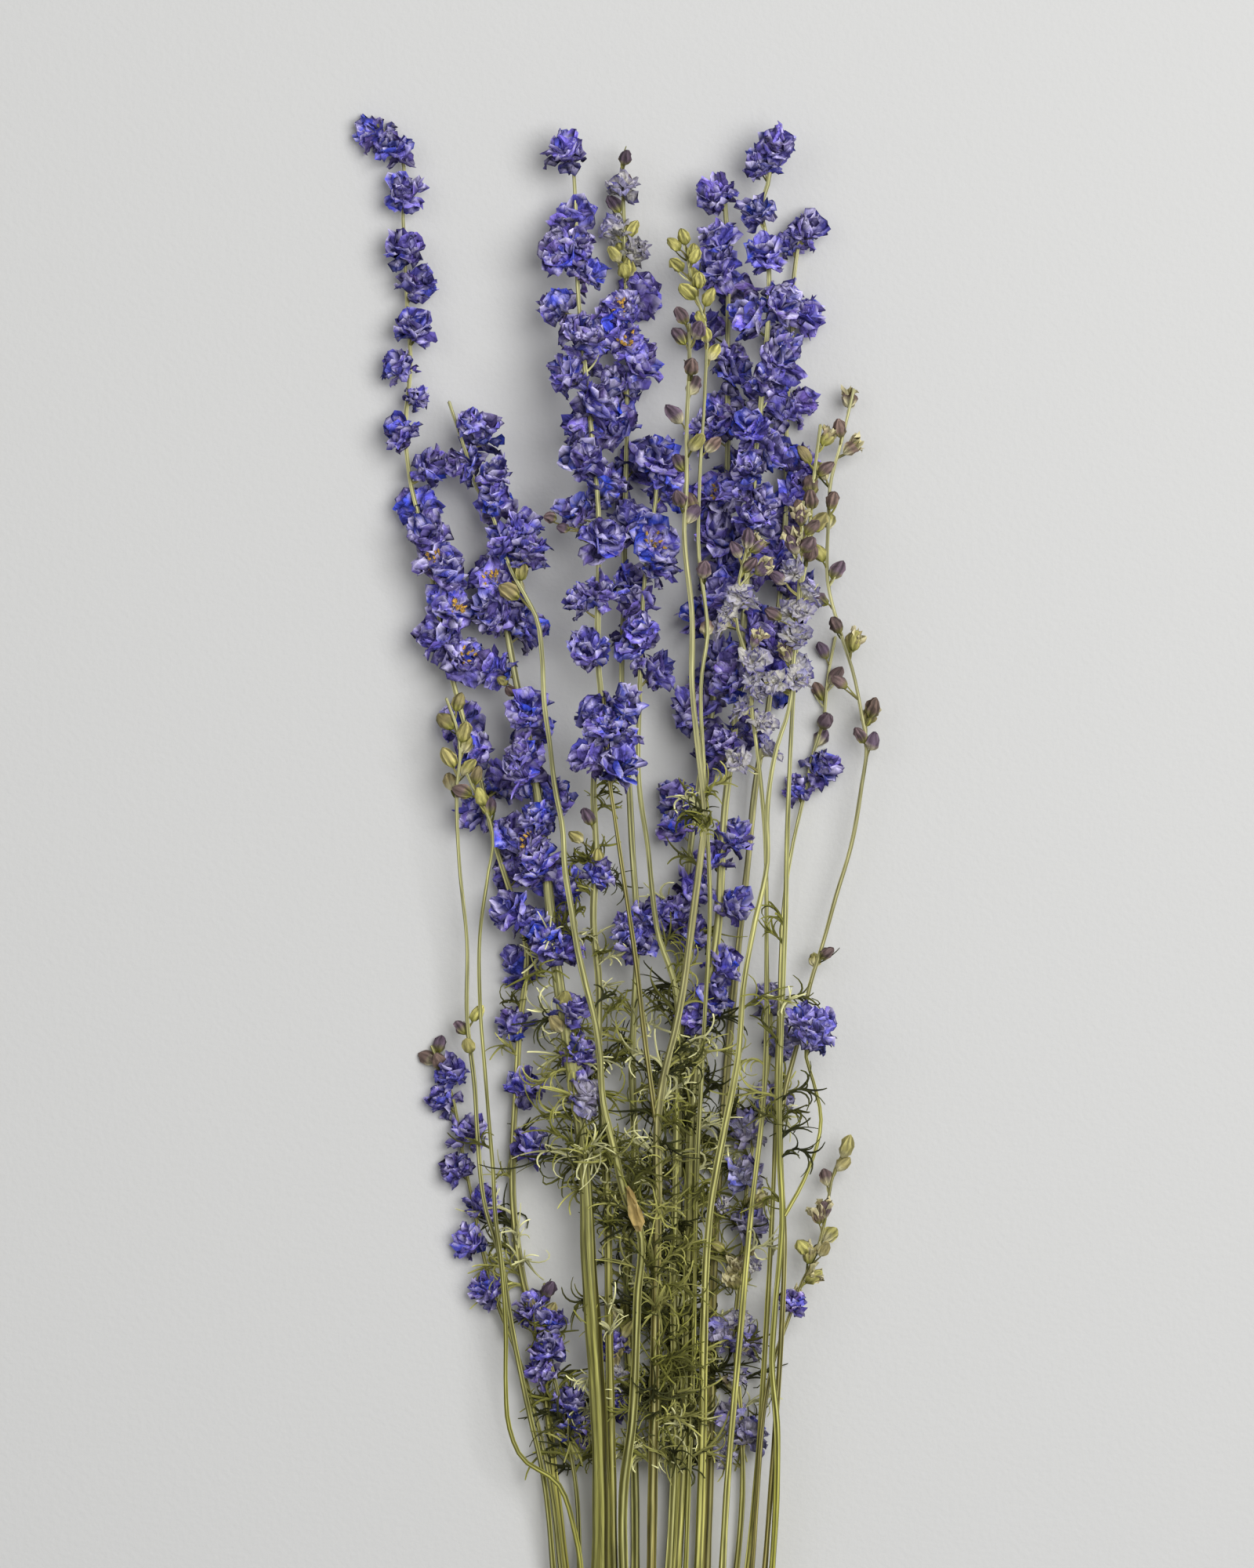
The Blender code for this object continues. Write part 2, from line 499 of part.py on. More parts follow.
def stem_object(name, path, along, offset, ends, knots, heights, finish, collection):
    """A tapering stem: a tube with four or six sides along the few points that its path needs."""
    height = np.interp(offset + along, knots, heights)
    picked = few_points(np.column_stack([path, height]), 0, len(path) - 1)
    curve = bpy.data.curves.new(name + "_path", "CURVE")
    curve.dimensions = "3D"
    curve.bevel_depth = MM
    curve.bevel_resolution = 1 if ends[0] > SIX_SIDES_FROM else 0
    curve.use_fill_caps = True
    curve.twist_mode = "Z_UP"
    spline = curve.splines.new("POLY")
    spline.points.add(len(picked) - 1)
    for point, index in zip(spline.points, picked):
        place = np.array([*path[index], height[index]]) - BUNCH_MIDDLE
        point.co = (*(place * MM), 1.0)
        point.radius = np.interp(along[index], [0, along[-1]], ends)
    tube = bpy.data.objects.new(name + "_path", curve)
    collection.objects.link(tube)
    mesh = bpy.data.meshes.new_from_object(tube.evaluated_get(bpy.context.evaluated_depsgraph_get()))
    bm = bmesh.new()
    bm.from_mesh(mesh)
    bmesh.ops.remove_doubles(bm, verts=bm.verts, dist=0.01 * MM)
    bmesh.ops.recalc_face_normals(bm, faces=bm.faces)
    bm.to_mesh(mesh)
    bm.free()
    mesh.materials.clear()
    mesh.materials.append(finish)
    made = bpy.data.objects.new(name, mesh)
    made.matrix_world = tube.matrix_world
    collection.objects.link(made)
    bpy.data.objects.remove(tube)
    return made


def boolean(made, operation, **operand):
    """Applies one exact Boolean to an object."""
    step = made.modifiers.new(operation.lower(), "BOOLEAN")
    step.operation = operation
    step.solver = "EXACT"
    step.material_mode = "TRANSFER"
    for key, value in operand.items():
        setattr(step, key, value)
    mesh = bpy.data.meshes.new_from_object(made.evaluated_get(bpy.context.evaluated_depsgraph_get()))
    made.modifiers.clear()
    made.data = mesh


def keep_one_body(made):
    """Fills the hollows that fusing sealed and drops loose scraps: the outer skin stays."""
    bm = bmesh.new()
    bm.from_mesh(made.data)
    left = set(bm.verts)
    bodies = []
    while left:
        body = [left.pop()]
        for vert in body:
            for edge in vert.link_edges:
                other = edge.other_vert(vert)
                if other in left:
                    left.discard(other)
                    body.append(other)
        bodies.append(body)
    bodies.sort(key=len)
    for body in bodies[:-1]:
        bmesh.ops.delete(bm, geom=body, context="VERTS")
    bm.to_mesh(made.data)
    bm.free()


for leftover in list(bpy.data.objects):
    bpy.data.objects.remove(leftover)
bunch = bpy.data.collections.new("dried_delphinium")
bpy.context.scene.collection.children.link(bunch)

STEM = material("dry_stem", (0.26, 0.24, 0.06), 0.6)
FINISHES = dict(
    floret=material("dried_petal", (0.07, 0.06, 0.42), 0.75),
    bud=material("dried_bud", (0.33, 0.31, 0.13), 0.7),
    leaf=material("dried_leaf", (0.16, 0.17, 0.05), 0.75))

cutters = bpy.data.collections.new("cutters")
bpy.context.scene.collection.children.link(cutters)
bpy.ops.mesh.primitive_cube_add(size=1.0, location=(0, 0, -TABLE_DEPTH / 2))
table = bpy.context.active_object
table.name = "under_the_table"
table.scale = (TABLE_WIDTH, TABLE_LENGTH, TABLE_DEPTH)
table.hide_render = True
table.display_type = "WIRE"
for holder in list(table.users_collection):
    holder.objects.unlink(table)
cutters.objects.link(table)

for name, runs, pieces, knots, heights in lay_down():
    scraps = bpy.data.collections.new(name + "_pieces")
    bpy.context.scene.collection.children.link(scraps)
    for number, (path, along, offset, ends) in enumerate(runs):
        home = scraps if number else bunch
        tube = stem_object(name, path, along, offset, ends, knots, heights, STEM, home)
        stalk = stalk if number else tube
    for kind, corners, faces, station in pieces:
        lifted = corners + (0, 0, np.interp(station, knots, heights))
        mesh_object(kind, lifted, faces, FINISHES[kind], scraps)
    boolean(stalk, "UNION", operand_type="COLLECTION", collection=scraps)
    if min(vert.co.z for vert in stalk.data.vertices) < 0:
        boolean(stalk, "DIFFERENCE", operand_type="OBJECT", object=table)
    keep_one_body(stalk)
    for scrap in list(scraps.objects):
        bpy.data.objects.remove(scrap)
    bpy.data.collections.remove(scraps)
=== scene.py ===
"""A bunch of dried delphinium stalks lying on a pale floor, seen from straight above.

X runs across the bunch, Y from the cut ends to the tips and Z up from the floor.
Shapes are worked out in millimetres and become metres when they are put into a mesh.
"""
import math

import bmesh
import bpy
import numpy as np
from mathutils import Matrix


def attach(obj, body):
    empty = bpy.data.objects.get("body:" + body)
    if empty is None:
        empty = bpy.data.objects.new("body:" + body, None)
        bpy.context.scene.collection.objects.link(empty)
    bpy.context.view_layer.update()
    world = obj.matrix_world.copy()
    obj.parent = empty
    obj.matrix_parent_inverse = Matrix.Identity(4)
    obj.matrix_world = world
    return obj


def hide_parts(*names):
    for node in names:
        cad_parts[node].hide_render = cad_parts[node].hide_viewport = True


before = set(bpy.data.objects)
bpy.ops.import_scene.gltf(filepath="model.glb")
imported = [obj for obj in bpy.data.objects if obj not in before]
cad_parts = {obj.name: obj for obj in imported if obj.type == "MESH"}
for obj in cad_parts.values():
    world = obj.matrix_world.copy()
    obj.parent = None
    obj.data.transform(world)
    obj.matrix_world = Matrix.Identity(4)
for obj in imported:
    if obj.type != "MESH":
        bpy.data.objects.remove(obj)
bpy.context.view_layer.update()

# The bunch as it lies.
# Twenty-three cut stalks of double larkspur, dried in the air. They were laid down one after
# another, so each springy stem rests on the floor or on the stalks that lay there before it.
MM = 0.001
BUNCH_MIDDLE = np.array([-5.0, 326.2, 0.0])  # in the routes' own millimetres; it becomes the origin
PATH_STEP = 2.0            # spacing of the points on a stem's smooth path
STEM_TOLERANCE = 0.5       # how far the straight runs of a stem's height may leave that path
FLORET_REACH = 10.0        # from the root of a floret of FLORET_RADIUS to its middle
FLORET_RADIUS = 9.0
FLORET_MIDDLE = 0.85       # that the eye sees as its middle, against its radius
BUD_RADIUS = 2.6
BUD_MIDDLE = 0.66          # place of a bud's thickest part along its length
PEDICEL_RADIUS = 0.55
ROOT_RADIUS = 0.3
LEAF_RADIUS = 0.5
CELL = 0.35                # cell of the height map of the pile
SAMPLE = 0.25              # spacing of the points that stand for a face on that map
STATION = 4.0              # length of stem whose height is found as one
GAP = 0.15                 # clear height between a stalk and what it lies on
STEM_SLACK = 0.2
PRESS = 0.8                # depth that the floor flattens off the lowest points
SAG = 4e-7                 # a stem's weight against its stiffness, per cubic mm
MAP_LOW = (-140.0, -20.0)
MAP_HIGH = (140.0, 700.0)
NO_HEIGHT = -1000.0        # below anything on that map
STEM_LINES = 25            # lines along the upper side of a stem, and the lower, that stand for it
REST_ROUNDS = 400          # at most, to find the places that carry a stem
PULL_TOLERANCE = 1e-9
HEIGHT_TOLERANCE = 1e-3
GOLDEN_ANGLE = math.radians(137.5)
PETALS = 5
SIZES = (0.9, 1.08)        # of pieces, against the size that their stalk's entry gives
BRANCH_THICKNESS = 0.7     # against its stem where it leaves it
# Angle from the stem and its spread, in degrees, and height of a pressed piece against its width
TILTS = dict(floret=(46, 10), single=(34, 8), bud=(30, 9), leaf=(48, 16))
FLATNESS = dict(floret=0.72, bud=0.6, leaf=0.3)

# One entry for each stalk, from the first laid down to the last.
# route: x, y along the stem from the cut end to the tip. stem: radius at the ends.
# florets, buds, leaves: (from y, to y, how many, size). single: (y, side in degrees, radius)
# with side 0 to the right, 90 up and 180 to the left. These y are of the middles of the pieces.
# branch: the route of a side branch, with what grows on it.
STALKS = [
    dict(name="spike_right_outer", stem=(1.9, 0.8),
         route=[(27, 8), (30, 70), (32, 120), (34, 209), (38, 270), (42, 315), (47, 361), (50, 391),
                (55, 421), (58, 452), (61, 482), (62, 515), (62, 536), (64, 561), (65, 589), (68, 609)],
         florets=[(424, 508, 7, 9.3)],
         single=[(606, 60, 9.0), (600, 190, 7.0), (573, 30, 9.0), (561, 150, 8.5), (538, 0, 9.0),
                 (535, 120, 8.5), (515, 0, 9.0)],
         leaves=[(130, 240, 2, 20)]),
    dict(name="spike_right_inner", stem=(2.0, 0.9),
         route=[(15, 4), (18, 70), (19, 120), (20, 224), (21, 285), (22, 330), (24, 361), (28, 391),
                (33, 421), (37, 467), (39, 512), (39, 558), (39, 603), (38, 616)],
         florets=[(395, 600, 15, 10.0)],
         single=[(619, 110, 9.0), (384, 170, 9.0), (374, 150, 9.0), (350, 30, 9.0), (340, 120, 9.0),
                 (332, 20, 9.0)],
         leaves=[(140, 320, 3, 22)]),
    dict(name="spike_centre_right", stem=(1.9, 0.7),
         route=[(2, 2), (3, 60), (3, 120), (0, 195), (3, 246), (2, 286), (3, 306), (4, 333), (2, 367),
                (1, 387), (-2, 424), (-2, 441), (-1, 468), (-1, 484), (0, 536), (0, 573), (-1, 603),
                (-2, 635)],
         florets=[(486, 586, 8, 10.0)],
         single=[(622, 90, 7.5), (606, 190, 7.0), (597, 0, 7.0), (470, 60, 8.5), (446, 0, 8.5),
                 (340, 20, 8.5), (334, 150, 8.0), (328, 90, 8.0)],
         buds=[(588, 636, 6, 11)],
         leaves=[(160, 300, 2, 20)]),
    dict(name="spike_far_left", stem=(1.7, 0.6),
         route=[(-14, 4), (-22, 70), (-28, 121), (-32, 158), (-37, 185), (-40, 197), (-44, 225),
                (-44, 258), (-43, 273), (-42, 293), (-40, 333), (-44, 345), (-51, 367), (-59, 401),
                (-65, 421), (-70, 441), (-74, 461), (-78, 484), (-84, 508), (-86, 532), (-85, 542),
                (-84, 555), (-85, 569), (-86, 589), (-87, 610), (-89, 638), (-97, 647)],
         florets=[(484, 530, 4, 9.3), (428, 476, 4, 10.2), (315, 421, 9, 10.0)],
         single=[(647, 180, 9.0), (638, 115, 8.5), (620, 85, 9.0), (598, 90, 9.0), (584, 5, 9.0),
                 (567, 60, 9.0), (552, 180, 8.5), (541, 0, 5.5), (297, 180, 8.5), (273, 90, 8.5),
                 (250, 30, 9.0)],
         leaves=[(140, 225, 3, 20)]),
    dict(name="spike_low_left", stem=(1.2, 0.6),
         route=[(-16, 16), (-25, 80), (-30, 121), (-44, 173), (-51, 191), (-56, 209), (-59, 224),
                (-64, 248), (-68, 270), (-76, 289)],
         single=[(278, 60, 8.0), (268, 170, 7.5), (255, 40, 8.5), (242, 150, 8.0), (227, 30, 8.5),
                 (214, 160, 8.0), (195, 130, 8.0)],
         buds=[(280, 290, 4, 10)]),
    dict(name="sprig_base_left", stem=(1.3, 0.6),
         route=[(-12, 10), (-18, 80), (-20, 120), (-24, 142), (-29, 164), (-33, 182), (-32, 197)],
         single=[(188, 150, 8.0), (181, 20, 8.0), (172, 90, 8.5), (164, 180, 7.5), (150, 30, 8.0),
                 (140, 10, 8.0)],
         buds=[(182, 197, 5, 11)],
         leaves=[(124, 150, 2, 18)]),
    dict(name="sprig_base_middle", stem=(1.1, 0.6),
         route=[(-1, 18), (-6, 80), (-9, 120), (-8, 150), (-3, 170), (-2, 190)],
         single=[(172, 160, 7.0), (150, 0, 7.0)],
         buds=[(160, 190, 5, 11)]),
    dict(name="spike_low_right", stem=(1.4, 0.6),
         route=[(34, 5), (41, 70), (45, 120), (44, 148), (42, 179), (45, 209), (47, 239), (53, 270),
                (56, 291), (55, 315)],
         single=[(307, 90, 7.5), (290, 20, 7.5), (269, 30, 8.5), (256, 140, 8.5), (239, 110, 8.5),
                 (220, 60, 9.0), (178, 170, 8.5), (174, 10, 8.0), (145, 160, 8.0), (138, 30, 8.5)],
         buds=[(150, 240, 5, 11)],
         leaves=[(130, 290, 3, 20)]),
    dict(name="stalk_right_side", stem=(1.3, 0.6),
         route=[(38, 12), (46, 80), (50, 120), (54, 180), (57, 240), (59, 300), (62, 353), (65, 370),
                (69, 387), (73, 405), (76, 414), (78, 432), (81, 448)],
         single=[(398, 20, 8.5), (388, 170, 7.0)],
         buds=[(405, 448, 5, 12)]),
    dict(name="spike_right_tall", stem=(2.4, 0.8),
         route=[(13, 14), (18, 70), (21, 120), (23, 179), (24, 224), (26, 273), (30, 303), (35, 333),
                (37, 367), (38, 382), (41, 406), (44, 436), (47, 482), (51, 530), (53, 552), (55, 582),
                (54, 603), (52, 614), (55, 625), (56, 638)],
         florets=[(395, 600, 16, 10.0)],
         single=[(638, 70, 9.0), (630, 185, 9.0), (612, 120, 8.5), (370, 20, 9.0),
                 (362, 150, 8.5), (344, 20, 9.0), (321, 20, 9.0), (308, 60, 9.0),
                 (300, 150, 9.0)],
         leaves=[(130, 300, 3, 22)]),
    dict(name="spike_middle_low", stem=(1.7, 0.7),
         route=[(9, 10), (15, 70), (18, 120), (18, 194), (19, 270), (18, 315), (12, 333), (10, 347),
                (8, 367), (5, 387), (5, 430), (6, 458), (8, 481), (11, 500), (12, 521)],
         florets=[(427, 522, 7, 9.3)],
         leaves=[(140, 330, 3, 22)]),
    dict(name="spike_centre_left", stem=(2.0, 0.7),
         route=[(-2, 12), (-5, 70), (-6, 120), (-7, 179), (-8, 239), (-11, 286), (-11, 315),
                (-13, 336), (-12, 367), (-13, 388), (-10, 425), (-11, 435), (-11, 471), (-11, 495),
                (-14, 530), (-18, 569), (-19, 582), (-20, 617), (-21, 634)],
         florets=[(482, 612, 13, 10.0)],
         single=[(636, 90, 9.5), (464, 30, 9.0), (461, 170, 8.5), (442, 100, 9.0), (357, 40, 8.0)],
         leaves=[(170, 320, 2, 20)]),
    dict(name="spike_thick_stem", stem=(4.2, 1.0),
         route=[(-8, 6), (-10, 60), (-10, 120), (-11, 148), (-13, 179), (-15, 209), (-16, 236),
                (-18, 258), (-23, 291), (-27, 318), (-30, 345), (-33, 376), (-38, 406), (-44, 436),
                (-48, 458), (-53, 482)],
         florets=[(318, 478, 13, 10.0)],
         single=[(303, 20, 8.5), (286, 10, 8.5), (270, 40, 9.0)],
         buds=[(296, 310, 3, 12)],
         leaves=[(236, 300, 5, 24)]),
    dict(name="spike_grey", stem=(1.5, 0.6),
         route=[(30, 9), (36, 70), (39, 120), (44, 179), (48, 224), (53, 270), (54, 330), (53, 376),
                (50, 406), (48, 421), (48, 433), (42, 455), (43, 468), (47, 485)],
         florets=[(400, 470, 6, 7.5)],
         buds=[(474, 486, 3, 10)],
         leaves=[(180, 320, 2, 20)]),
    dict(name="sprig_bud_right", stem=(1.0, 0.6),
         route=[(41, 20), (48, 80), (51, 122), (52, 137), (54, 154), (57, 168), (62, 182), (68, 198),
                (73, 208), (77, 223), (81, 242), (86, 250)],
         single=[(190, 100, 6.5)],
         buds=[(188, 250, 7, 11)]),
    dict(name="stalk_far_right", stem=(1.2, 0.6),
         route=[(44, 8), (52, 70), (56, 121), (61, 209), (61, 270), (67, 294), (71, 313), (76, 329),
                (81, 347), (87, 367), (91, 390), (93, 406), (91, 418), (88, 433), (83, 449), (78, 468),
                (78, 491), (79, 508), (83, 523), (88, 544)],
         buds=[(320, 330, 2, 10), (408, 420, 2, 11), (440, 545, 11, 12)]),
    dict(name="stalk_bud_right", stem=(1.4, 0.7),
         route=[(48, 3), (55, 70), (58, 121), (58, 142), (56, 168), (57, 185), (60, 225), (59, 246),
                (60, 306), (61, 333), (62, 374), (63, 401), (65, 436), (67, 464), (70, 482), (72, 506),
                (75, 530)],
         branch=[(61, 224), (69, 239), (75, 262), (72, 276), (69, 287), (72, 300)],
         branch_single=[(297, 10, 9.0), (292, 0, 9.0), (298, 160, 8.5)],
         buds=[(476, 530, 8, 12)],
         leaves=[(230, 340, 2, 20)]),
    dict(name="stalk_thin_centre", stem=(1.1, 0.6),
         route=[(17, 6), (22, 70), (24, 120), (26, 179), (27, 239), (30, 300), (32, 345), (30, 391),
                (29, 435), (31, 448), (30, 461), (28, 475), (28, 508), (30, 542), (30, 569), (25, 585),
                (23, 598)],
         buds=[(556, 598, 7, 11), (440, 540, 4, 11)]),
    dict(name="stalk_forked", stem=(2.3, 0.7),
         route=[(8, 0), (9, 60), (10, 120), (11, 179), (12, 239), (12, 261), (14, 276), (19, 297),
                (22, 313), (24, 328), (26, 344), (28, 360), (30, 379), (29, 390), (27, 407), (25, 428),
                (25, 455), (22, 488), (23, 508), (23, 530), (24, 552), (24, 568)],
         branch=[(12, 255), (7, 292), (3, 326), (-1, 353), (-5, 380), (-7, 394), (-8, 412), (-9, 424)],
         branch_florets=[(394, 424, 6, 9.8)],
         buds=[(488, 568, 8, 12)],
         leaves=[(170, 270, 3, 22), (372, 384, 1, 14)]),
    dict(name="spike_left_front", stem=(2.1, 0.6),
         route=[(0, 15), (-1, 70), (-1, 121), (2, 144), (3, 162), (4, 192), (5, 218), (-1, 232),
                (-5, 250), (-9, 266), (-11, 290), (-13, 302), (-16, 313), (-19, 326), (-22, 345),
                (-24, 357), (-25, 374), (-28, 390), (-30, 407), (-32, 421), (-33, 441), (-35, 455),
                (-39, 463), (-45, 474), (-50, 488), (-53, 497), (-57, 503), (-62, 518), (-65, 527),
                (-69, 539)],
         florets=[(474, 532, 6, 9.0)],
         single=[(488, 0, 9.0), (478, 10, 8.5)],
         buds=[(466, 476, 2, 11)],
         leaves=[(212, 240, 1, 20)]),
    dict(name="spike_pale_right", stem=(2.0, 0.6),
         route=[(23, 2), (27, 70), (29, 121), (30, 185), (31, 212), (33, 232), (38, 259), (43, 286),
                (45, 313), (49, 336), (54, 360), (54, 380), (58, 406), (62, 418), (64, 436), (66, 461),
                (67, 482), (68, 500)],
         florets=[(434, 480, 5, 7.5)],
         buds=[(482, 500, 5, 11)],
         leaves=[(200, 330, 2, 20)]),
    dict(name="stalk_bud_left", stem=(1.3, 0.6),
         route=[(-20, 8), (-28, 80), (-32, 120), (-39, 152), (-45, 182), (-49, 207), (-55, 227),
                (-58, 255), (-59, 273), (-62, 300), (-62, 329), (-65, 360), (-66, 387), (-65, 409),
                (-70, 424)],
         buds=[(390, 424, 7, 12), (286, 306, 3, 11)]),
    dict(name="stalk_looped_left", stem=(1.1, 0.6),
         route=[(-11, 15), (-16, 60), (-20, 100), (-27, 120), (-41, 130), (-46, 143), (-47, 157),
                (-47, 179), (-49, 207), (-51, 223), (-52, 242), (-53, 254), (-55, 279), (-57, 306),
                (-57, 333), (-54, 355), (-52, 371), (-54, 379), (-59, 388), (-62, 395)],
         buds=[(381, 396, 4, 11)],
         leaves=[(245, 260, 1, 12)]),
]


def unit(vectors):
    """The same directions with length one."""
    return vectors / np.linalg.norm(vectors, axis=-1, keepdims=True)


def turns(count):
    """Angles spread evenly round a circle."""
    return 2 * math.pi * np.arange(count) / count


def smooth_path(route):
    """A cubic through the route's points, read every PATH_STEP, with its length so far."""
    points = np.array(route, float)
    spans = np.linalg.norm(np.diff(points, axis=0), axis=1)
    knots = np.concatenate([[0.0], np.cumsum(spans)])
    slopes = np.diff(points, axis=0) / spans[:, None]
    tangents = np.empty_like(points)
    weights = (spans[1:] / (spans[1:] + spans[:-1]))[:, None]
    tangents[1:-1] = weights * slopes[:-1] + (1 - weights) * slopes[1:]
    tangents[0] = slopes[0]
    tangents[-1] = slopes[-1]
    along = np.linspace(0, knots[-1], int(knots[-1] / PATH_STEP) + 1)
    span = np.clip(np.searchsorted(knots, along, side="right") - 1, 0, len(spans) - 1)
    length = spans[span][:, None]
    t = ((along - knots[span]) / spans[span])[:, None]
    path = ((2 * t**3 - 3 * t**2 + 1) * points[span] + (t**3 - 2 * t**2 + t) * length * tangents[span]
            + (3 * t**2 - 2 * t**3) * points[span + 1] + (t**3 - t**2) * length * tangents[span + 1])
    steps = np.linalg.norm(np.diff(path, axis=0), axis=1)
    return path, np.concatenate([[0.0], np.cumsum(steps)])


def along_path(values, along, station):
    """Pairs of values that go with places along a path, read at other places along it."""
    return np.stack([np.interp(station, along, values[:, axis]) for axis in (0, 1)], axis=-1)


def few_points(path, first, last):
    """Indices of the points that keep the path within STEM_TOLERANCE of straight runs."""
    chord = path[last] - path[first]
    chord = chord / np.linalg.norm(chord)
    offsets = path[first:last + 1] - path[first]
    away = np.linalg.norm(offsets - np.outer(offsets @ chord, chord), axis=1)
    worst = int(np.argmax(away))
    if away[worst] <= STEM_TOLERANCE:
        return [first, last]
    middle = first + worst
    return few_points(path, first, middle) + few_points(path, middle, last)[1:]


def primitive(build):
    """Corner places and faces of a small closed primitive that `build` adds to a bmesh."""
    bm = bmesh.new()
    build(bm)
    bmesh.ops.triangulate(bm, faces=bm.faces)
    corners = np.array([vert.co[:] for vert in bm.verts])
    faces = np.array([[vert.index for vert in face.verts] for face in bm.faces])
    bm.free()
    return corners, faces


DROP, DROP_FACES = primitive(lambda bm: bmesh.ops.create_uvsphere(
    bm, u_segments=3, v_segments=4, radius=1.0))
DROP_RING = np.round(2 + 2 * DROP[:, 2]).astype(int)       # 0 for its foot, to 4 for its tip
DROP_SIDE = np.arctan2(DROP[:, 1], DROP[:, 0])
ROOT, CROWN = 0, 1
STAR_FACES = np.array([face for i in range(PETALS) for face in (
    (ROOT, 2 + (i + 1) % PETALS, 2 + i),
    (2 + i, 2 + (i + 1) % PETALS, 2 + PETALS + i),
    (CROWN, 2 + i, 2 + PETALS + i),
    (CROWN, 2 + PETALS + i, 2 + (i + 1) % PETALS))])


def floret(radius, rng):
    """A crumpled double floret: five ragged petal points round a full crown, on a narrow root."""
    reach = FLORET_REACH * radius / FLORET_RADIUS
    turn = rng.uniform(0, 2 * math.pi)
    hollow = turn + turns(PETALS)
    point = hollow + math.pi / PETALS + rng.uniform(-0.2, 0.2, PETALS)
    out = np.concatenate([[0, 0.12 * radius], np.full(PETALS, 0.72 * radius),
                          radius * rng.uniform(0.92, 1.12, PETALS)])
    around = np.concatenate([[0, turn], hollow, point])
    along = reach * np.concatenate([[-0.01, 1.6], rng.uniform(0.7, 1.0, PETALS),
                                    rng.uniform(0.65, 1.3, PETALS)])
    return np.stack([out * np.cos(around), out * np.sin(around), along], axis=1)


def bud(length, rng):
    """A closed three-sided bud that tapers to its point, on a thin stalk of its own."""
    along = length * np.array([-0.01, 0.02, 0.36, BUD_MIDDLE, 1.0])[DROP_RING]
    widest = BUD_RADIUS * rng.uniform(0.85, 1.1)
    out = np.array([0.0, ROOT_RADIUS, PEDICEL_RADIUS, widest, 0.0])[DROP_RING]
    return np.stack([out * np.cos(DROP_SIDE), out * np.sin(DROP_SIDE), along], axis=1)


def leaf(length, rng):
    """One curled thread of a dried leaf, bent along an arc."""
    t = np.array([-0.01, 0.01, 0.4, 0.78, 1.0])[DROP_RING]
    out = np.array([0.0, ROOT_RADIUS, LEAF_RADIUS, LEAF_RADIUS, 0.0])[DROP_RING]
    curl = rng.uniform(0.6, 2.0)
    across = out * np.cos(DROP_SIDE)
    bend = length / curl * (1 - np.cos(curl * t)) + across * np.cos(curl * t)
    along = length / curl * np.sin(curl * t) - across * np.sin(curl * t)
    return np.stack([bend, out * np.sin(DROP_SIDE), along], axis=1)


SHAPES = dict(floret=(floret, STAR_FACES), bud=(bud, DROP_FACES), leaf=(leaf, DROP_FACES))


def root_below(kind, tilt, size):
    """How far the root of a piece is below its middle."""
    middle = dict(floret=FLORET_MIDDLE, bud=BUD_MIDDLE, leaf=0.0)[kind]
    return middle * size * math.cos(tilt)


def some_tilt(kind, rng):
    """A random angle between a piece of that kind and its stem."""
    middle, spread = TILTS[kind]
    return math.radians(rng.uniform(-1, 1) * spread + middle)


def spirals(stalk, prefix, rng):
    """What grows on a stem, as kind, y, side, tilt and size. A span's pieces wind up the stem."""
    grown = []
    for kind, key in (("floret", "florets"), ("bud", "buds"), ("leaf", "leaves")):
        for low, high, count, size in stalk.get(prefix + key, []):
            first = rng.uniform(0, 2 * math.pi)
            for i in range(count):
                y = low + (high - low) * (i + 0.5 + rng.uniform(-0.25, 0.25)) / count
                side = first + i * GOLDEN_ANGLE + rng.uniform(-0.3, 0.3)
                tilt = some_tilt(kind, rng)
                grown_size = size * rng.uniform(*SIZES)
                grown.append((kind, y - root_below(kind, tilt, grown_size), side, tilt, grown_size))
    for y, side, size in stalk.get(prefix + "single", []):
        tilt = some_tilt("single", rng)
        grown.append(("floret", y - root_below("floret", tilt, size), math.radians(side), tilt, size))
    return grown


def growth(run, y, side, tilt):
    """Where a piece grows from a stem: its root, the station of that, its axis and what is across it.

    The axis leans `tilt` away from the stem towards `side`: 0 is right, a quarter turn up.
    """
    path, along, offset = run[:3]
    station = np.interp(y, path[:, 1], along)
    root = along_path(path, along, station)
    tx, ty = along_path(unit(np.gradient(path, axis=0)), along, station)
    stem = np.array([tx, ty, 0.0])
    outward = np.array([ty * math.cos(side), -tx * math.cos(side), math.sin(side)])
    axis = math.cos(tilt) * stem + math.sin(tilt) * outward
    inner = math.cos(tilt) * outward - math.sin(tilt) * stem
    return dict(root=root, station=offset + station, axis=axis, inner=inner)


def pieces_on(run, grown, rng):
    """Each grown piece before its stalk is settled, with the corners of its plain solid."""
    pieces = []
    for kind, y, side, tilt, size in grown:
        piece = growth(run, y, side, tilt)
        shape, faces = SHAPES[kind]
        local = shape(size, rng)
        axis, inner = piece["axis"], piece["inner"]
        corners = local[:, :1] * inner + local[:, 1:2] * np.cross(axis, inner) + local[:, 2:] * axis
        corners *= (1, 1, FLATNESS[kind])
        corners[:, :2] += piece["root"]
        pieces.append(dict(piece, kind=kind, size=size, corners=corners, faces=faces))
    return pieces


